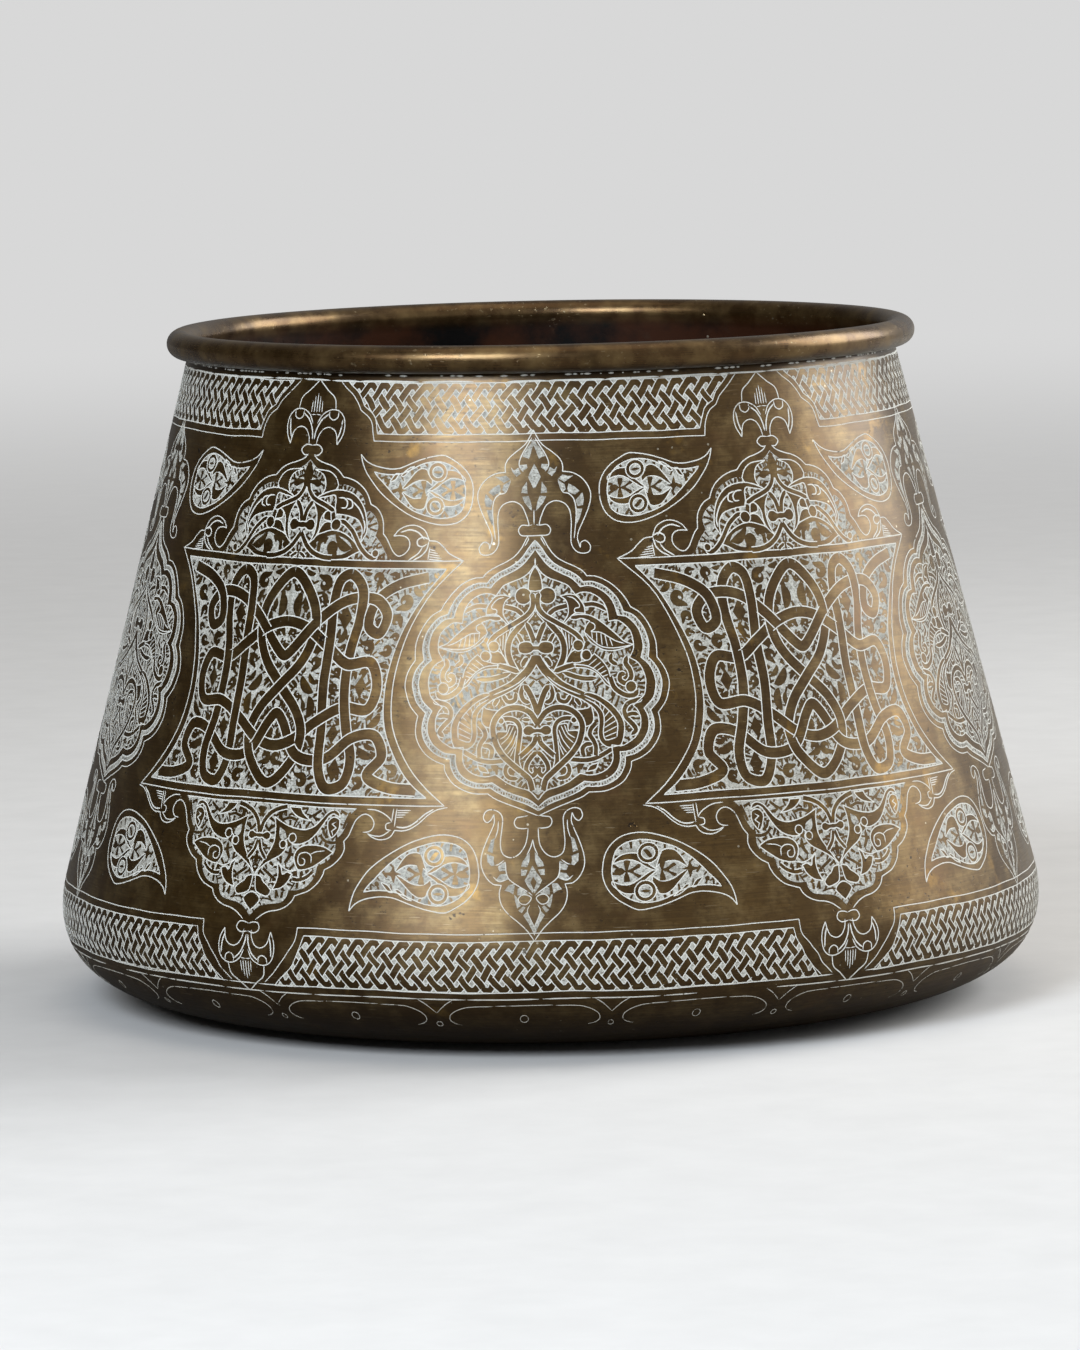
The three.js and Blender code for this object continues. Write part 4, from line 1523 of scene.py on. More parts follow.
        d.leaf([
            (-26.9, 70.2), (-26.2, 71.6), (-24.7, 72.2), (-22.7, 71.4), (-20.9, 69.3), (-18.9, 67.2),
            (-15.9, 66.1), (-12.9, 66.3), (-9.9, 67), (-6.9, 68.2), (-4.9, 69.2), (-4.9, 69.2), (-5.6, 67),
            (-5.8, 64.8), (-5.7, 62.4), (-4.8, 60), (-3, 57.2), (-0.3, 53), (-0.3, 53), (-3, 55.4),
            (-5.4, 56.9), (-8.2, 58.4), (-9.8, 60), (-10.4, 61.6), (-9.7, 62.9), (-9.7, 62.9), (-11, 63.6),
            (-12, 62.2), (-13.2, 61.9), (-15.4, 62.2), (-17.9, 63.3), (-19.9, 65.2), (-21.6, 67.8),
            (-23.2, 70.4), (-23.2, 70.4), (-24.4, 71.1), (-25.6, 70.8)])
        d.fill([(-9.9, 63.6), (-9.2, 65.3), (-7.2, 66.4), (-7.2, 66.4), (-7.3, 64.2), (-8.4, 63)])
        d.leaf(circle((-12, 63.6), 1.3), ticked=False)
        d.leaf(circle((-8.9, 61.7), 1.2), ticked=False)
        d.leaf([(-26.8, 69.6), (-27, 67.4), (-26.1, 65.4), (-24.8, 64.4), (-23.6, 66.2), (-23.1, 68.6),
                (-24.2, 70), (-25.4, 70.2), (-26.8, 69.6)], ticked=False)
        d.groove([(-25.8, 68.9), (-25.8, 68.9), (-24.6, 68.2), (-24.6, 68.2), (-26, 67.2), (-26, 67.2),
                  (-24.7, 66.2), (-24.7, 66.2), (-25.3, 64.9)])
        d.leaf([(-26, 60.1), (-22.9, 61.6), (-18.4, 62), (-15.4, 61.4), (-13.7, 60), (-13.2, 58.2),
                (-13.9, 56.2), (-13.9, 56.2), (-15.2, 54.8), (-19.4, 55.6), (-22.9, 57.7)])
        d.groove([(-23.4, 60.5), (-20.4, 60.1), (-18.5, 59.2)], 0.26)
        d.groove([(-19.2, 56.8), (-18.9, 58.9), (-17.1, 59.8), (-15, 59.2), (-14.6, 57.4), (-15.4, 56.2),
                  (-16.8, 56.4), (-16.9, 57.7), (-15.8, 58.2)])
        d.groove([(-15.2, 54.8), (-12.2, 54.4), (-9.6, 55.3), (-7.8, 56.8)])
        d.bare([(-11.8, 61.5), (-12.4, 59.5), (-12, 57.9), (-10.7, 56.3), (-10, 56.6), (-11, 58.6),
                (-11.2, 60.6)])
        d.strap([(-20.2, 54.6), (-18.2, 52.9), (-15.6, 52), (-13.4, 52.2)], 1)
        d.leaf([(-13, 53.6), (-12.1, 51.4), (-10, 49.5), (-7, 48.7), (-7, 48.7), (-8, 51), (-8.4, 53.5),
                (-7.7, 56.4), (-7.7, 56.4), (-9.2, 55.2), (-10, 53.3), (-11.4, 54)])
        d.strap([(-7.2, 51.8), (-2.9, 54.4)], 0.9, lined=False, ticked=False)
        d.groove([(-7.6, 51.2), (-5.6, 50.7), (-4.2, 51.4)], 0.22)
        for x, z in ((-10.6, 47.5), (-8.6, 47.3), (-15.4, 50.4), (-16.2, 53.4)):
            d.bare(np.array([(-0.45, 1), (0.5, 0.8), (0.35, -1), (-0.5, -0.8), (-0.45, 1)]) + (x, z))
        d.leaf([(-0.4, 52.5), (-2.4, 52.1), (-3.6, 50.7), (-5.2, 49.7), (-6.5, 48.3), (-5.5, 46.9),
                (-2.9, 47.3), (-1.2, 48.3), (-0.4, 52.5)])
        d.leaf([(0, 47.8), (-1.4, 47.4), (-3, 45.8), (-1.8, 44.1), (0, 42.5), (0, 42.5)])
        d.strap([(-7.9, 45.7), (-5.4, 46.2), (-3, 46)], 0.5, lined=False, ticked=False)
        d.strap([(-0.3, 62.3), (-1.2, 59.6), (-3.4, 57)], 1, (0, 0.5))
        d.bare([(0, 59.4), (0, 59.4), (-0.8, 57.4), (-0.6, 55.6), (0, 55), (0, 55)])
        d.leaf([(0, 64.4), (-1.2, 64.3), (-2.8, 64.9), (-4, 64.3), (-4, 63.1), (-2.8, 62.5), (-1.2, 63.1),
                (0, 63), (0, 63)])
        d.bare([(-1.6, 71.2), (-1.6, 71.2), (0, 69), (0, 69), (0, 71.8), (0, 71.8)])
        d.groove([(0, 36.6), (-2.6, 36.3), (-4.1, 37.5), (-3.4, 39.1), (-1.6, 39.3), (0, 38.8)])
        d.groove([
            (-2.2, 39.9), (-4.9, 41.8), (-7.4, 42.8), (-9.9, 43.2), (-12.4, 44.2), (-14.3, 45.8),
            (-15.2, 47.5), (-15.2, 47.5), (-17.4, 48.2), (-19.9, 49.2), (-22.3, 51.4), (-23.6, 53.7),
            (-23.9, 55.1), (-23.9, 55.1), (-26.4, 56.5), (-28.6, 58.9), (-29.4, 61.2), (-28.9, 63.5),
            (-28.9, 63.5), (-30.2, 65.2), (-30.9, 67), (-31.9, 69.5), (-33.4, 71), (-34.9, 71.4),
            (-36.6, 70.7), (-37.8, 69), (-37.5, 67.3), (-36.4, 66.5), (-34.6, 66.3)])
        d.groove([
            (-36, 66), (-37.6, 65), (-39.9, 64.3), (-42.2, 64.6), (-43.6, 65.5), (-44.4, 67), (-44.4, 67),
            (-46.9, 66.9), (-49.2, 67.5), (-51.4, 69), (-53.9, 71.5), (-56.4, 73), (-59.4, 73.6)])
        d.groove([(-55.4, 73.2), (-52.9, 71.7), (-50.9, 69.7), (-48.9, 68.3), (-46.9, 67.8), (-44.7, 68)],
                  0.4)
        d.groove([(-43, 66.9), (-40.6, 65.4), (-37.9, 65.4), (-36.2, 66)])
        d.groove([(-43.4, 67), (-41.8, 67.3), (-41.6, 68.7), (-43, 69.2)])
        d.groove([(-43.3, 69.2), (-42.4, 70.4), (-40.4, 71.7), (-37.9, 72.6), (-35, 72.8)])
        for k in range(4):
            d.groove([(-44.4, 70.7 + 0.65 * k), (-46.7 - 0.6 * k, 70.8 + 0.65 * k)], 0.32, tips=(0.5, 1))
        d.groove([(-44.2, 68), (-44.2, 73.2)])
        d.groove([(-43.2, 69.4), (-43.2, 73.2)])

    def finial(self, d: Drawing, up: int, base: float, scale: float) -> None:
        """Draws the fleur that stands on a dome, and the ogee over it.

        Args:
            d: The drawing it goes into.
            up: 1 for the upper finial, -1 for the lower one.
            base: Added to the height after mirroring.
            scale: Size against the upper one.
        """
        def at(points: Sequence[Point]) -> np.ndarray:
            """Runs a curve through points of the upper finial, and puts it in this finial's place."""
            return (curve(points) - (0, 174)) * (scale, up * scale) + (0, base + up * 174)

        d.groove(at([
            (0.8, 181.6), (2.4, 184.3), (5.2, 185.8), (8, 185.6), (10, 183.8), (10.7, 181), (10.2, 178.2),
            (8.8, 175.8), (8.8, 175.8), (8.3, 178.2), (7.4, 179.8), (5.2, 180.7), (3.2, 180), (1.8, 177.9),
            (1.4, 175.6)]))
        d.groove(at([(9.7, 183.2), (9.4, 180), (8.6, 177.4)]), 0.4)
        d.groove(at([(0.3, 177), (0.7, 179.6), (2.2, 182.6), (4.6, 184.6)]), 0.4)
        d.groove(at([(4.7, 185.4), (4.9, 183.7), (6.3, 182.9), (7.8, 183.7), (8, 185.4)]))
        d.groove(at([(6.9, 185.8), (6.1, 189.2), (3.4, 191.3), (0.2, 194.1)]))
        d.groove(at([(0, 184.3), (2, 184.1)]), 0.28)
        for x, top in ((0, 190.4), (0.95, 189.6), (1.9, 188.2)):
            d.groove(at([(x, 184.9), (x * 0.92, top)]), 0.26, tips=(0.4, 1))

    def panel(self) -> Drawing:
        """Draws the panel, centred on x = 0: a generic knot of bold straps on a ground of small scrolls.

        Returns:
            The drawing.
        """
        d = Drawing(both_sides=True, seed=34)
        top, bottom = self.top_line - self.line_gap, self.bottom_line + self.line_gap
        inner = curve([(49.2, top), (45.4, 136), (41.4, 129.6), (38, 121.6), (35.9, 113.6), (35.2, 106),
                       (36.2, 98), (39.4, 90), (43.8, 83.6), (48, 79.4), (52.6, bottom)])
        edge = np.vstack([(0, top), inner, (0, bottom)])
        d.ground(np.vstack([edge, edge[:1]]))
        knot = self.knot()
        self.scrolls(d, edge, np.vstack(knot.paths))
        d.both_sides = False
        knot.draw(d)
        d.both_sides = True
        d.clip(np.vstack([inner, (inner * (-1, 1))[::-1]]))
        d.groove(np.vstack([np.linspace((0, top), inner[0], 25), inner[1:-1],
                            np.linspace(inner[-1], (0, bottom), 25)]))
        return d

    def scrolls(self, d: Drawing, edge: np.ndarray, straps: np.ndarray) -> None:
        """Fills the pockets between the straps with curls, leaves, lozenges and ticks, the largest first.

        Args:
            d: The drawing they go into.
            edge: Outline of the panel's right half.
            straps: Points along the middle of the straps.
        """
        low, high = edge[:, 1].min(), edge[:, 1].max()
        x, z = np.meshgrid(np.arange(0.2, edge[:, 0].max(), 0.7), np.arange(low, high, 0.7))
        spots = np.stack([x.ravel(), z.ravel()], -1) + d.random.uniform(-0.3, 0.3, (x.size, 2))
        spots = spots[inside(spots, edge)]
        border = subdivided(edge, 0.6)[:-100]
        half_strap, clear, least = 1.55, 0.2, 0.42
        room = np.minimum(self.nearest(spots, straps) - half_strap, self.nearest(spots, border) - clear)
        room = np.minimum(room, spots[:, 0] - 0.05)
        while room.max() > least:
            i = int(room.argmax())
            radius = min(room[i] + 0.25, d.random.uniform(2.4, 3.6))
            kind = d.random.random()
            if radius < 1.0:
                lean = d.random.uniform(0, math.pi)
                along = np.array([math.cos(lean), math.sin(lean)]) * (radius + 0.15)
                across = np.array([-along[1], along[0]]) * 0.36
                d.bare(spots[i] + np.array([-along - across, along * 0.8 - across, along + across,
                                            across * 0.7 - along]))
            elif kind < 0.14:
                tall = np.array([(-0.7, 0), (0, 1.15), (0.7, 0), (0, -1.15), (-0.7, 0)])
                d.bare(spots[i] + tall * radius)
            elif kind < 0.42:
                d.sprig(spots[i], radius)
            else:
                d.curl(spots[i], radius)
            room = np.minimum(room, np.hypot(*(spots - spots[i]).T) - radius)

    @staticmethod
    def nearest(spots: np.ndarray, others: np.ndarray) -> np.ndarray:
        """Gives each spot's distance to the nearest of other points."""
        return np.min([np.hypot(*(spots - other).T) for other in others], axis=0)

    def knot(self) -> "Knot":
        """Gives the bold straps: a figure of eight, tall loops, a level loop and hooks into the corners.

        Returns:
            The straps, the closed ones first.
        """
        middle = [(0, 138.9), (5.6, 134.6), (9.3, 128), (9.6, 120.4), (6.4, 113.2), (0, 106.6), (-6.4, 100),
                  (-9.6, 92.8), (-7.6, 85.2), (0, 78.6)]
        eight = middle + [(-x, z) for x, z in middle[-2:0:-1]]
        tall = [
            (19.8, 139), (23.8, 135), (24.4, 127), (22.6, 117), (22.4, 107), (24.4, 96), (27.4, 86.6),
            (26.2, 79.6), (20.6, 78.2), (17.2, 84.4), (16.4, 95), (15.3, 107), (15.5, 119), (15.1, 130.6),
            (16.2, 137)]
        level = [(0, 124.8), (7.5, 123), (15, 118.2), (22, 113.4), (29.6, 114), (32.6, 107.4),
                 (30.6, 100.8), (22.6, 101), (14, 96.6), (7, 91.4), (0, 89.4)]
        high = [(0, 114.9), (2.6, 116.6), (11.6, 126.2), (20, 131.6), (28.6, 132), (33, 127.4),
                (31.2, 122.2), (27.4, 124.4), (29, 131.6), (35, 136), (44, 138.4)]
        low = [(0, 98.6), (2.6, 96.2), (8.8, 87.2), (18.6, 86.2), (27, 92.4), (34, 93.4), (37, 87.4),
               (33.4, 82), (40, 79), (49, 78.4)]
        closed = [eight, tall, [(-x, z) for x, z in tall], level + [(-x, z) for x, z in level[-2:0:-1]]]
        open_ended = [[(-x, z) for x, z in half[:0:-1]] + half for half in (high, low)]
        step = 0.6
        loops = [curve(points, True, step) for points in closed]
        ended = [curve(points, step=step) for points in open_ended]
        return Knot([np.vstack([loop, loop[:1]]) for loop in loops] + ended, len(loops), 3.0, step)


@dataclass
class Knot:
    """Straps that pass over and under one another in turn."""

    paths: list[np.ndarray]
    closed: int  # how many of them, from the first on, end where they start
    width: float
    step: float  # distance of a path's points

    def crossings(self) -> list[tuple[tuple[int, float], tuple[int, float], float]]:
        """Finds each crossing: two places, as path number and points along it, and their angle.

        Returns:
            One row for each crossing.
        """
        starts = np.vstack([path[:-1] for path in self.paths])
        spans = np.vstack([np.diff(path, axis=0) for path in self.paths])
        owner = np.concatenate([np.full(len(path) - 1, i) for i, path in enumerate(self.paths)])
        place = np.concatenate([np.arange(len(path) - 1) for path in self.paths])
        found = []
        for i, (start, span) in enumerate(zip(starts, spans)):
            apart = starts[i + 2:] - start
            other = spans[i + 2:]
            slant = span[0] * other[:, 1] - span[1] * other[:, 0]
            slant = np.where(np.abs(slant) < 1e-12, 1e-12, slant)
            here = (apart[:, 0] * other[:, 1] - apart[:, 1] * other[:, 0]) / slant
            there = (apart[:, 0] * span[1] - apart[:, 1] * span[0]) / slant
            for j in np.flatnonzero((here >= 0) & (here < 1) & (there >= 0) & (there < 1)):
                k = i + 2 + j
                ends_meet = owner[i] == owner[k] and place[k] - place[i] > len(self.paths[owner[i]]) - 4
                if not ends_meet:
                    angle = math.asin(min(1, abs(slant[j]) / math.hypot(*span) / math.hypot(*other[j])))
                    found.append(((owner[i], place[i] + here[j]), (owner[k], place[k] + there[j]), angle))
        return found

    def draw(self, d: Drawing) -> None:
        """Draws every strap, then again the stretches that lie on top.

        Args:
            d: The drawing that they go into.
        """
        for path in self.paths:
            d.strap(path, self.width)
        visits = sorted((*place, number, angle) for number, (*pair, angle) in enumerate(self.crossings())
                        for place in pair)
        above = np.zeros(len(visits), int)
        for first in range(len(visits)):
            waiting = [] if above[first] else [first]
            above[first] = above[first] or 1
            while waiting:
                i = waiting.pop()
                for j, (path, _, number, _) in enumerate(visits):
                    neighbour = abs(i - j) == 1 and path == visits[i][0]
                    if above[j] == 0 and (neighbour or number == visits[i][2]):
                        above[j] = -above[i]
                        waiting.append(j)
        for (number, place, _, angle), on_top in zip(visits, above):
            if on_top > 0:
                path = self.paths[number]
                wrapped = np.vstack([path[:-1], path[:-1], path[:-1]]) if number < self.closed else path
                middle = place + (len(path) - 1 if number < self.closed else 0)
                half = self.width / 2 + d.line
                reach = min(5.5, half * (1 + math.cos(angle)) / math.sin(angle) / self.step + 0.2)
                low, high = max(0, round(middle - reach)), round(middle + reach) + 1
                d.strap(wrapped[low:high], self.width, ticked=False)


@dataclass(frozen=True)
class HeelPetals:
    """Faint arched panels round the heel, mostly worn away."""

    count: int = 18

    def draw(self) -> Drawing:
        """Draws one arch with the point between it and the next, centred on x = 0.

        Returns:
            The drawing.
        """
        d = Drawing(line=0.19, both_sides=True, seed=51)
        d.groove([(20.2, 19.2), (22.6, 17.6), (25.2, 15)])
        d.groove([(9, 17.2), (16, 16.9), (19.4, 15.8), (21.5, 14.2), (21.8, 12.6), (20.6, 11.4),
                  (18.6, 10.8)], tips=(1, 3))
        d.groove([(8.2, 17.3), (0, 17.4)], tips=(1, 0))
        d.groove(circle((0, 13), 1.2, -90, 90), 0.16, tips=(0, 0))
        d.groove(circle((25.2, 11.2), 0.8, 90, 270), 0.16, tips=(0, 0))
        return d


@dataclass(frozen=True)
class RingLines:
    """Long single lines round the bowl, broken where the paste has fallen out."""

    # Height, width, share that is missing, and the least and greatest length of an unbroken run
    lines: tuple[tuple[float, ...], ...] = (
        (194.3, 0.45, 0.06, 9, 26),
        (195.9, 0.5, 0.55, 0.7, 3.2),
        (21.5, 0.3, 0.2, 9, 26),
        (19.3, 0.34, 0.2, 9, 26),
    )

    def draw(self, length: float) -> Drawing:
        """Draws the lines.

        Args:
            length: Length of one repeat, in the drawing's own millimetres.

        Returns:
            The drawing, centred on x = 0.
        """
        d = Drawing(seed=61)
        for height, width, missing, shortest, longest in self.lines:
            place = -length / 2
            while place < length / 2:
                run = min(d.random.uniform(shortest, longest), length / 2 - place)
                if d.random.random() > missing:
                    steps = np.linspace(place, place + run, max(4, int(run / 2)))
                    d.groove(np.stack([steps, np.full(len(steps), height)], -1), width,
                             tips=(0.6, 0.6))
                place += run + d.random.uniform(0.1, 1.2)
        return d


# Finishes

class Surface:
    """A material in the making, with short ways to add the nodes that every finish uses.

    Pattern scales are per metre, so a scale of 1000 makes a pattern of about a millimetre.
    """

    def __init__(self, name: str) -> None:
        """Starts an empty material.

        Args:
            name: The material's name.
        """
        self.material = bpy.data.materials.new(name)
        self.material.use_nodes = True
        self.tree = self.material.node_tree
        self.tree.nodes.clear()
        self.place = add_node(self.tree, "ShaderNodeTexCoord").outputs["Object"]
        self.height = add_node(self.tree, "ShaderNodeSeparateXYZ", inputs={0: self.place}).outputs["Z"]

    def moved(self, stretch: Triple, turn: Triple, seed: float) -> Socket:
        """Gives the place on the object, stretched, turned and shifted.

        Args:
            stretch: Factor along each axis.
            turn: Turn about each axis.
            seed: How far it is shifted.

        Returns:
            The place.
        """
        return add_node(self.tree, "ShaderNodeMapping", inputs={
            "Vector": self.place, "Location": (seed, seed * 0.7, seed * 0.3), "Rotation": turn,
            "Scale": stretch}).outputs[0]

    def noise(self, scale: float, detail: float = 3.0, stretch: Triple = (1, 1, 1),
              turn: Triple = (0, 0, 0), seed: float = 0.0) -> Socket:
        """Adds a cloudy pattern from 0 to 1, mostly near 0.5.

        Args:
            scale: Clouds per metre.
            detail: How many finer layers it has.
            stretch: Factor along each axis.
            turn: Turn about each axis.
            seed: Shifts the pattern.

        Returns:
            The pattern.
        """
        return add_node(self.tree, "ShaderNodeTexNoise", inputs={
            "Vector": self.moved(stretch, turn, seed), "Scale": scale, "Detail": detail,
            "Roughness": 0.6}).outputs[0]

    def spots(self, scale: float, share: float, size: float, seed: float = 0.0) -> Socket:
        """Adds separate round spots.

        Args:
            scale: Cells per metre.
            share: Share of the cells that hold a spot.
            size: A spot's radius against its cell.
            seed: Shifts the pattern.

        Returns:
            1 in a spot, 0 outside.
        """
        cells = add_node(self.tree, "ShaderNodeTexVoronoi", inputs={
            "Vector": self.moved((1, 1, 1), (0, 0, 0), seed), "Scale": scale})
        picked = add_node(self.tree, "ShaderNodeSeparateColor", inputs={0: cells.outputs["Color"]})
        chosen = self.span(picked.outputs["Red"], 1 - share, 1 - share + 0.02)
        radius = self.math("MULTIPLY", picked.outputs["Green"], size)
        inside_it = self.math("LESS_THAN", cells.outputs["Distance"], radius)
        return self.math("MULTIPLY", chosen, inside_it)

    def span(self, value: Socket, low: float, high: float, to_low: float = 0.0,
             to_high: float = 1.0) -> Socket:
        """Maps a stretch of values onto another, and holds its ends."""
        ends = {"From Min": low, "From Max": high, "To Min": to_low, "To Max": to_high}
        return add_node(self.tree, "ShaderNodeMapRange", inputs={"Value": value, **ends}).outputs[0]

    def math(self, operation: str, first: Socket | float, second: Socket | float) -> Socket:
        """Joins two numbers."""
        settings = {"operation": operation}
        return add_node(self.tree, "ShaderNodeMath", settings, {0: first, 1: second}).outputs[0]

    def mix(self, factor: Socket | float, first: Socket | str, second: Socket | str) -> Socket:
        """Mixes two colours, given as hex or as sockets.

        Args:
            factor: 0 gives the first colour, 1 the second.
            first: The first colour.
            second: The second colour.

        Returns:
            The mixed colour.
        """
        first, second = (linear(c) if isinstance(c, str) else c for c in (first, second))
        return add_node(self.tree, "ShaderNodeMix", {"data_type": "RGBA"}, {
            "Factor": factor, 6: first, 7: second}).outputs[2]

    def attribute(self, name: str) -> Socket:
        """Reads a number that the mesh carries."""
        return add_node(self.tree, "ShaderNodeAttribute", {"attribute_name": name}).outputs["Fac"]

    def relief(self, *layers: tuple[Socket, float]) -> Socket:
        """Turns patterns into a bumped normal.

        Args:
            layers: Each pattern with its height in millimetres.

        Returns:
            The normal.
        """
        total = None
        for pattern, height in layers:
            layer = self.math("MULTIPLY", pattern, height * MM)
            total = layer if total is None else self.math("ADD", total, layer)
        return add_node(self.tree, "ShaderNodeBump", inputs={
            "Height": total, "Distance": 1.0, "Strength": 1.0}).outputs[0]

    def done(self, **inputs: Socket | float) -> bpy.types.Material:
        """Adds the shader and the output.

        Args:
            inputs: The shader's inputs, with underscores for spaces.

        Returns:
            The finished material.
        """
        named = {name.replace("_", " "): value for name, value in inputs.items()}
        shader = add_node(self.tree, "ShaderNodeBsdfPrincipled", inputs=named)
        add_node(self.tree, "ShaderNodeOutputMaterial", inputs={"Surface": shader.outputs[0]})
        return self.material


@dataclass(frozen=True)
class PatinatedBrass:
    """Raised brass sheet, scraped round the bowl, burnished, and brown with age.

    Its common name is sheet brass. The scraper leaves fine level marks that stretch the highlights
    upright. Use has left pits, scratches and blotches of brown oxide, and hands have kept the rim redder
    and brighter.
    """

    deep: str = "3A2709"
    mid: str = "765B2E"
    light: str = "A68E5F"
    red: str = "6B4C2C"
    gold: str = "A07C38"
    inside_red: str = "44230F"
    inside_black: str = "090605"

    def make(self) -> bpy.types.Material:
        """Builds the material.

        Returns:
            The finished material.
        """
        s = Surface("patinated_brass")
        scrape = s.noise(1.0, 4.0, (70, 70, 2100))
        fine_scrape = s.noise(1.0, 2.0, (190, 190, 5200), seed=3.0)
        cloud = s.noise(15.0, 8.0)
        mottle = s.noise(120.0, 6.0, seed=5.0)
        grain = s.noise(900.0, 3.0, seed=9.0)
        hammer = s.noise(34.0, 1.0, seed=12.0)
        worn = s.span(s.noise(22.0, 3.0, seed=40.0), 0.42, 0.6)
        pits = s.math("MULTIPLY", s.span(s.noise(620.0, 2.0, (1, 1, 1.6), seed=1.0), 0.645, 0.685), worn)
        nicks = s.span(s.noise(150.0, 3.0, (1, 1, 1.3), seed=4.0), 0.715, 0.74)
        flecks = s.spots(480.0, 0.11, 0.2, 7.0)
        fine_mottle = s.noise(420.0, 4.0, (1, 1, 1.8), seed=17.0)
        scratch = s.span(s.noise(1.0, 1.0, (130, 130, 3000), (0.6, 0.35, 0), 2.0), 0.75, 0.77)
        cross_scratch = s.span(s.noise(1.0, 1.0, (110, 110, 2600), (-0.8, 0.4, 0), 6.0), 0.75, 0.77)
        scratches = s.math("MAXIMUM", scratch, cross_scratch)

        colour = s.mix(s.span(cloud, 0.2, 0.8), self.deep, self.mid)
        colour = s.mix(s.span(mottle, 0.45, 0.75, 0, 0.55), colour, self.light)
        colour = s.mix(s.span(scrape, 0.35, 0.65, 0, 0.42), colour, self.deep)
        colour = s.mix(s.span(fine_mottle, 0.5, 0.72, 0, 0.45), colour, self.deep)
        colour = s.mix(s.span(s.noise(75.0, 6.0, seed=19.0), 0.62, 0.72, 0, 0.55), colour, self.gold)
        colour = s.mix(s.span(s.noise(45.0, 6.0, seed=15.0), 0.56, 0.74, 0, 0.5), colour, self.red)
        colour = s.mix(s.math("MULTIPLY", scratches, 0.35), colour, "B5A68A")
        colour = s.mix(s.math("MULTIPLY", s.math("MAXIMUM", pits, nicks), 0.8), colour, "241A10")
        colour = s.mix(s.math("MULTIPLY", flecks, 0.6), colour, "C9C3AE")

        rim = s.span(s.height, 0.1958, 0.1972)
        handled = s.mix(s.span(mottle, 0.4, 0.7), "533C1F", "7C6540")
        handled = s.mix(s.span(s.noise(60.0, 6.0, seed=21.0), 0.5, 0.7, 0, 0.8), handled, self.deep)
        handled = s.mix(s.math("MULTIPLY", s.math("MAXIMUM", pits, flecks), 0.6), handled, "A89878")
        colour = s.mix(rim, colour, handled)
        # Dirt and painted shade: a near-black band in the recess under the rolled rim, where the wall lies
        # in shade.
        gap_dirt_and_shade = s.math("MULTIPLY", s.span(s.height, 0.1935, 0.1962), s.span(s.height, 0.1985, 0.1965))
        colour = s.mix(s.math("MULTIPLY", gap_dirt_and_shade, 0.75), colour, "1A130C")
        # Painted shade and darker patina: the heel darkens towards the floor, where the bowl shades itself
        # and mirrors its own shadow.
        foot_shade = s.span(s.height, 0.038, 0.034, 0, 0.3)
        underside = s.math("MAXIMUM", foot_shade, s.span(s.height, 0.036, 0.006, 0, 0.85))
        colour = s.mix(underside, colour, "22180E")

        inner = s.attribute("inner")
        blotches = s.span(s.noise(38.0, 7.0, seed=30.0), 0.4, 0.58)
        small_blotches = s.span(s.noise(160.0, 5.0, seed=31.0), 0.6, 0.72, 0, 0.6)
        inner_colour = s.mix(blotches, self.inside_black, self.inside_red)
        inner_colour = s.mix(small_blotches, inner_colour, "4A3120")
        inner_colour = s.mix(s.spots(300.0, 0.12, 0.16, 33.0), inner_colour, "9A9080")
        colour = s.mix(inner, colour, inner_colour)

        rough = s.span(cloud, 0.3, 0.7, 0.34, 0.29)
        rough = s.math("ADD", rough, s.span(mottle, 0.4, 0.75, 0.0, 0.10))
        rough = s.math("ADD", rough, s.span(scrape, 0.3, 0.7, -0.03, 0.05))
        rough = s.math("ADD", rough, s.math("MULTIPLY", s.math("MAXIMUM", inner, underside), 0.3))
        rough = s.math("SUBTRACT", rough, s.math("MULTIPLY", rim, 0.06))
        normal = s.relief((scrape, 0.010), (fine_scrape, 0.006), (mottle, 0.03), (grain, 0.004),
                          (hammer, 0.5), (pits, -0.05), (nicks, -0.08), (scratches, -0.008))
        around = add_node(s.tree, "ShaderNodeTangent", {"direction_type": "RADIAL", "axis": "Z"})
        uncoated = s.math("MAXIMUM", s.math("MAXIMUM", inner, underside), s.math("MULTIPLY", rim, 0.5))
        metallic = s.span(inner, 0, 1, 0.82, 0.6)
        coat = s.span(uncoated, 0, 1, 0.45, 0.0)
        return s.done(Base_Color=colour, Metallic=metallic, Roughness=rough, Normal=normal,
                      Anisotropic=0.45, Anisotropic_Rotation=0.25, Tangent=around.outputs[0],
                      Coat_Weight=coat, Coat_Roughness=0.3)


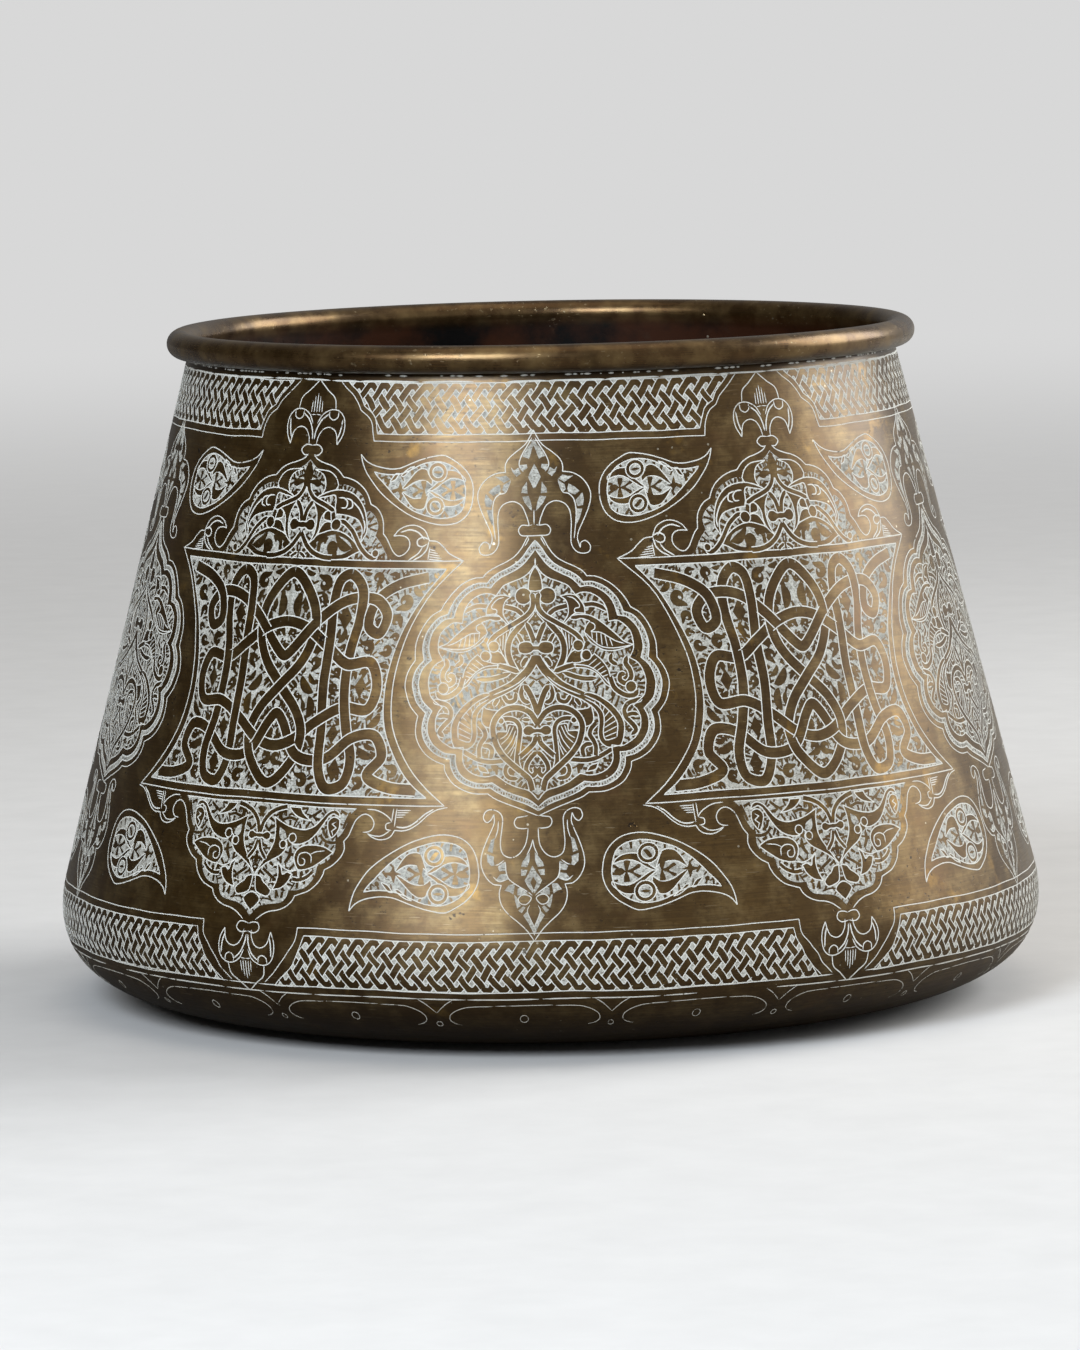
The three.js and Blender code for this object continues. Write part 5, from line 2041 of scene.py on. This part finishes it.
@dataclass(frozen=True)
class ChalkPaste:
    """White chalk or lead paste, rubbed into the cuts and wiped off nearly level with the metal.

    It is dry and dull. Single cuts are clean and bright. The cleared grounds are greyer, because the graver
    roughened them with short strokes whose ridges show through as dark lines.
    """

    white: str = "DFE0DA"
    ground: str = "9A9A92"
    ridge: str = "4E4534"

    def make(self) -> bpy.types.Material:
        """Builds the material.

        Returns:
            The finished material.
        """
        s = Surface("chalk_paste")
        line = s.attribute("line")
        strokes = s.noise(1.0, 2.0, (900, 900, 2600), (0.5, -0.4, 0.2), 2.0)
        cross = s.noise(1.0, 2.0, (900, 900, 2600), (-0.6, 0.5, 0.0), 8.0)
        chalk = s.noise(1500.0, 4.0, seed=3.0)
        patch = s.noise(30.0, 5.0, seed=6.0)
        ground = s.mix(s.span(chalk, 0.38, 0.78), self.ground, self.white)
        shown = s.math("MAXIMUM", s.span(strokes, 0.60, 0.66), s.span(cross, 0.62, 0.68))
        ground = s.mix(s.math("MULTIPLY", shown, 0.8), ground, self.ridge)
        ground = s.mix(s.span(s.noise(260.0, 3.0, seed=14.0), 0.5, 0.64, 0, 0.5), ground, "6C675C")
        bright = s.mix(s.span(chalk, 0.3, 0.7, 0, 0.35), self.white, self.ground)
        colour = s.mix(line, ground, bright)
        colour = s.mix(s.span(patch, 0.55, 0.75, 0, 0.45), colour, "8F8878")
        worn_foot = s.span(s.height, 0.022, 0.014, 0, 0.13)
        kept = s.math("SUBTRACT", s.span(patch, 0.4, 0.7, 0.74, 0.62), worn_foot)
        lost = s.math("GREATER_THAN", s.noise(420.0, 4.0, seed=11.0), kept)
        colour = s.mix(s.span(s.height, 0.0215, 0.017, 0, 0.5), colour, "7A6E58")
        colour = s.mix(s.math("MULTIPLY", lost, 0.85), colour, self.ridge)
        normal = s.relief((chalk, 0.02), (strokes, 0.03), (lost, -0.05))
        return s.done(Base_Color=colour, Roughness=0.82, Normal=normal)


@dataclass(frozen=True)
class PlainMetal:
    """The pieces that hardly show: base plate, rim wire and brazed seam, each dull and spotted in its tone.

    They are sheet brass, drawn iron wire and brazing spelter, all left as they came from the hammer or the
    fire, so they scatter the light and their highlights stay soft.
    """

    name: str
    deep: str
    light: str
    rough: float
    pattern: float  # size of the mottling in millimetres

    def make(self) -> bpy.types.Material:
        """Builds the material.

        Returns:
            The finished material.
        """
        s = Surface(self.name)
        mottle = s.noise(1 / (self.pattern * MM), 6.0)
        grain = s.noise(1200.0, 3.0, seed=4.0)
        colour = s.mix(s.span(mottle, 0.35, 0.65), self.deep, self.light)
        colour = s.mix(s.spots(200.0, 0.2, 0.2), colour, self.deep)
        rough = s.span(grain, 0.3, 0.7, self.rough - 0.08, self.rough + 0.08)
        normal = s.relief((mottle, 0.2), (grain, 0.02))
        return s.done(Base_Color=colour, Metallic=0.85, Roughness=rough, Normal=normal)


# Studio

@dataclass(frozen=True)
class Studio:
    """A pale floor, a room that is darker on the left, soft lamps and the camera."""

    camera_place: Triple = (-0.0021, -2.135, 0.3328)
    camera_pitch: float = math.radians(-6.32)
    camera_roll: float = math.radians(-1.08)
    focal_length: float = 187.4  # for a frame 36 mm high
    frame_height: float = 36.0
    aim: Triple = (0, 0, 0.1)
    room_dark: float = 0.04
    room_light: float = 0.45

    def build(self) -> None:
        """Sets up the camera, the floor, the lamps and the world."""
        scene = bpy.context.scene
        camera = bpy.data.cameras.new("camera")
        camera.sensor_fit = "VERTICAL"
        camera.sensor_height = self.frame_height
        camera.lens = self.focal_length
        camera.clip_end = 200
        holder = bpy.data.objects.new("camera", camera)
        holder.location = self.camera_place
        turn = Euler((math.pi / 2 + self.camera_pitch, 0, 0)).to_matrix()
        holder.rotation_euler = (turn @ Euler((0, 0, self.camera_roll)).to_matrix()).to_euler()
        scene.collection.objects.link(holder)
        scene.camera = holder
        self.floor()
        self.room(scene)
        self.lamp("front_left_strip", (-0.76, -1.7, 1.15), (0.7, 0.9), 27, (0.84, 0.95, 1.09))
        self.lamp("front_wide", (-0.95, -1.6, 1.15), (1.6, 0.8), 9, (1.08, 1, 0.88))
        self.lamp("right_bank", (1.45, 0.45, 0.9), (1.2, 1.1), 24)
        self.lamp("overhead", (0.1, -0.2, 2.3), (1.8, 1.8), 6, (1.15, 1, 0.84))
        scene.view_settings.view_transform = "Standard"

    def floor(self) -> None:
        """Lays a very large sheet of pale paper.

        Its near part is plain matt paper and keeps the bowl's shadow. Further off it shows one even tone.
        """
        under = (0, 0, -0.0004)
        bpy.ops.mesh.primitive_circle_add(vertices=96, radius=60, fill_type="NGON", location=under)
        sheet = bpy.context.active_object
        sheet.name = "floor"
        s = Surface("floor_paper")
        fibre = s.noise(40.0, 3.0)
        path = add_node(s.tree, "ShaderNodeLightPath")
        in_metal = path.outputs["Is Glossy Ray"]
        pale = s.mix(s.span(fibre, 0.3, 0.7), "DDDDDC", "E2E2E1")
        across = add_node(s.tree, "ShaderNodeSeparateXYZ", inputs={0: s.place}).outputs["X"]
        # Painted shade in reflections: the metal sees the floor dark, darkest on the left, as if the room
        # were dark there.
        mirrored = s.mix(s.span(across, -0.2, 0.4), "2E2C29", "A6A39B")
        share = s.math("MULTIPLY", in_metal, 0.85)
        paper = add_node(s.tree, "ShaderNodeBsdfPrincipled", inputs={
            "Base Color": s.mix(share, pale, mirrored), "Roughness": 0.9})
        even = add_node(s.tree, "ShaderNodeEmission", inputs={
            "Color": s.mix(share, "D8D8D8", mirrored), "Strength": 1.0})
        length = {"operation": "LENGTH"}
        distance = add_node(s.tree, "ShaderNodeVectorMath", length, {0: s.place}).outputs["Value"]
        far = add_node(s.tree, "ShaderNodeMapRange", {"interpolation_type": "SMOOTHSTEP"}, {
            "Value": distance, "From Min": 0.45, "From Max": 3.2}).outputs[0]
        seen = s.math("MAXIMUM", path.outputs["Is Camera Ray"], in_metal)
        seen = s.math("MAXIMUM", seen, path.outputs["Is Transmission Ray"])
        mixed = add_node(s.tree, "ShaderNodeMixShader", inputs={
            0: s.math("MULTIPLY", seen, far), 1: paper.outputs[0], 2: even.outputs[0]})
        add_node(s.tree, "ShaderNodeOutputMaterial", inputs={"Surface": mixed.outputs[0]})
        sheet.data.materials.append(s.material)

    def room(self, scene: bpy.types.Scene) -> None:
        """Lights the scene from all round, less from the left.

        Args:
            scene: The scene that gets the world.
        """
        world = bpy.data.worlds.new("studio")
        scene.world = world
        world.use_nodes = True
        tree = world.node_tree
        tree.nodes.clear()
        place = add_node(tree, "ShaderNodeTexCoord").outputs["Generated"]
        side = add_node(tree, "ShaderNodeVectorMath", {"operation": "DOT_PRODUCT"}, {
            0: place, 1: (0.93, -0.05, 0.36)}).outputs["Value"]
        level = add_node(tree, "ShaderNodeMapRange", {"interpolation_type": "SMOOTHSTEP"}, {
            "Value": side, "From Min": -0.7, "From Max": 0.9, "To Min": self.room_dark,
            "To Max": self.room_light}).outputs[0]
        light = add_node(tree, "ShaderNodeBackground", inputs={
            "Color": (1, 0.99, 0.97, 1), "Strength": level})
        add_node(tree, "ShaderNodeOutputWorld", inputs={"Surface": light.outputs[0]})

    def lamp(self, name: str, place: Triple, size: Point, power: float, tint: Triple = (1, 1, 1)) -> None:
        """Adds a soft rectangular lamp that points at the bowl.

        Args:
            name: The lamp's name.
            place: Where it hangs, in metres.
            size: Its width and height.
            power: Its power in watts.
            tint: Its colour.
        """
        data = bpy.data.lights.new(name, "AREA")
        data.shape = "RECTANGLE"
        data.size, data.size_y = size
        data.energy = power
        data.color = tint
        holder = bpy.data.objects.new(name, data)
        holder.location = place
        holder.rotation_euler = (Vector(self.aim) - Vector(place)).to_track_quat("-Z", "Y").to_euler()
        bpy.context.scene.collection.objects.link(holder)


def finish_piece(piece: bpy.types.Object, slot: str, material: bpy.types.Material, *nodes: str) -> None:
    """Puts a piece on the bowl's body and reports it.

    Args:
        piece: The finished object.
        slot: Not used.
        material: The piece's material.
        nodes: The solids that the piece stands for.
    """
    piece.data.materials.clear()
    piece.data.materials.append(material)
    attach(piece, "root")
    if nodes:
        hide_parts(*nodes)
    log.info("%s: %d faces", piece.name, len(piece.data.polygons))


def motifs(section: BowlSection) -> list[Motif]:
    """Lists the ornament, from the rim's plait to the single rings.

    Args:
        section: The bowl's section, for the rings' length.

    Returns:
        Each motif with its place. Some are cut a little beside the middle of their space.
    """
    upper = PlaitBand(179.1, 194.0, UPPER_PLAIT_END, UPPER_PLAIT_FRAME)
    lower = PlaitBand(21.4, 36.2, LOWER_PLAIT_END, LOWER_PLAIT_FRAME)
    medallion, cartouche = Medallion(), Cartouche()
    middle = CARTOUCHE_AZIMUTH - math.pi / FOLD
    pendant, drops, petals = (side + math.radians(turn) for side, turn in (
        (MEDALLION_AZIMUTH, -0.6), (middle, -0.5), (MEDALLION_AZIMUTH, -2)))
    rings = RingLines().draw(FULL_TURN * section.foot_radius)
    return [
        Motif("upper_plait", upper.draw(), first=middle, fixed_height=187.0),
        Motif("lower_plait", lower.draw(), 2, first=middle, fixed_height=28.0),
        Motif("medallions", medallion.draw(), 3, first=MEDALLION_AZIMUTH),
        Motif("lower_pendants", medallion.lower_pendant(), first=pendant),
        Motif("teardrops", Teardrops().draw(), first=drops),
        Motif("cartouches", cartouche.draw(), 2, first=CARTOUCHE_AZIMUTH),
        Motif("cartouche_panels", cartouche.panel(), 2, first=CARTOUCHE_AZIMUTH),
        Motif("heel_petals", HeelPetals().draw(), count=HeelPetals.count, first=petals, fixed_height=14.0),
        Motif("ring_lines", rings, count=1, fixed_height=section.foot_height),
    ]


def main() -> None:
    """Builds the bowl and its studio."""
    logging.basicConfig(level=logging.INFO, format="%(message)s")
    Studio().build()
    brass = PatinatedBrass().make()
    paste = ChalkPaste().make()
    section, hand = BowlSection(), HandWork()
    finish_piece(WallSheet(section, hand).build(), "patinated_brass", brass, "wall_sheet")
    plain = {
        "base_plate": PlainMetal("base_brass", "4A3A22", "7C6338", 0.45, 25.0),
        "rim_wire": PlainMetal("iron_wire", "241C18", "4C3D33", 0.6, 3.0),
        "brazed_seam": PlainMetal("brazing_spelter", "7A6030", "B5934E", 0.42, 5.0),
    }
    for node, finish in plain.items():
        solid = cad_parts[node]
        solid.data.materials.clear()
        solid.data.materials.append(finish.make())
    inlay = Inlay(section, hand)
    for motif in motifs(section):
        for piece in inlay.build(motif, paste):
            finish_piece(piece, "line_infill", paste)


if __name__ == "__main__":
    main()
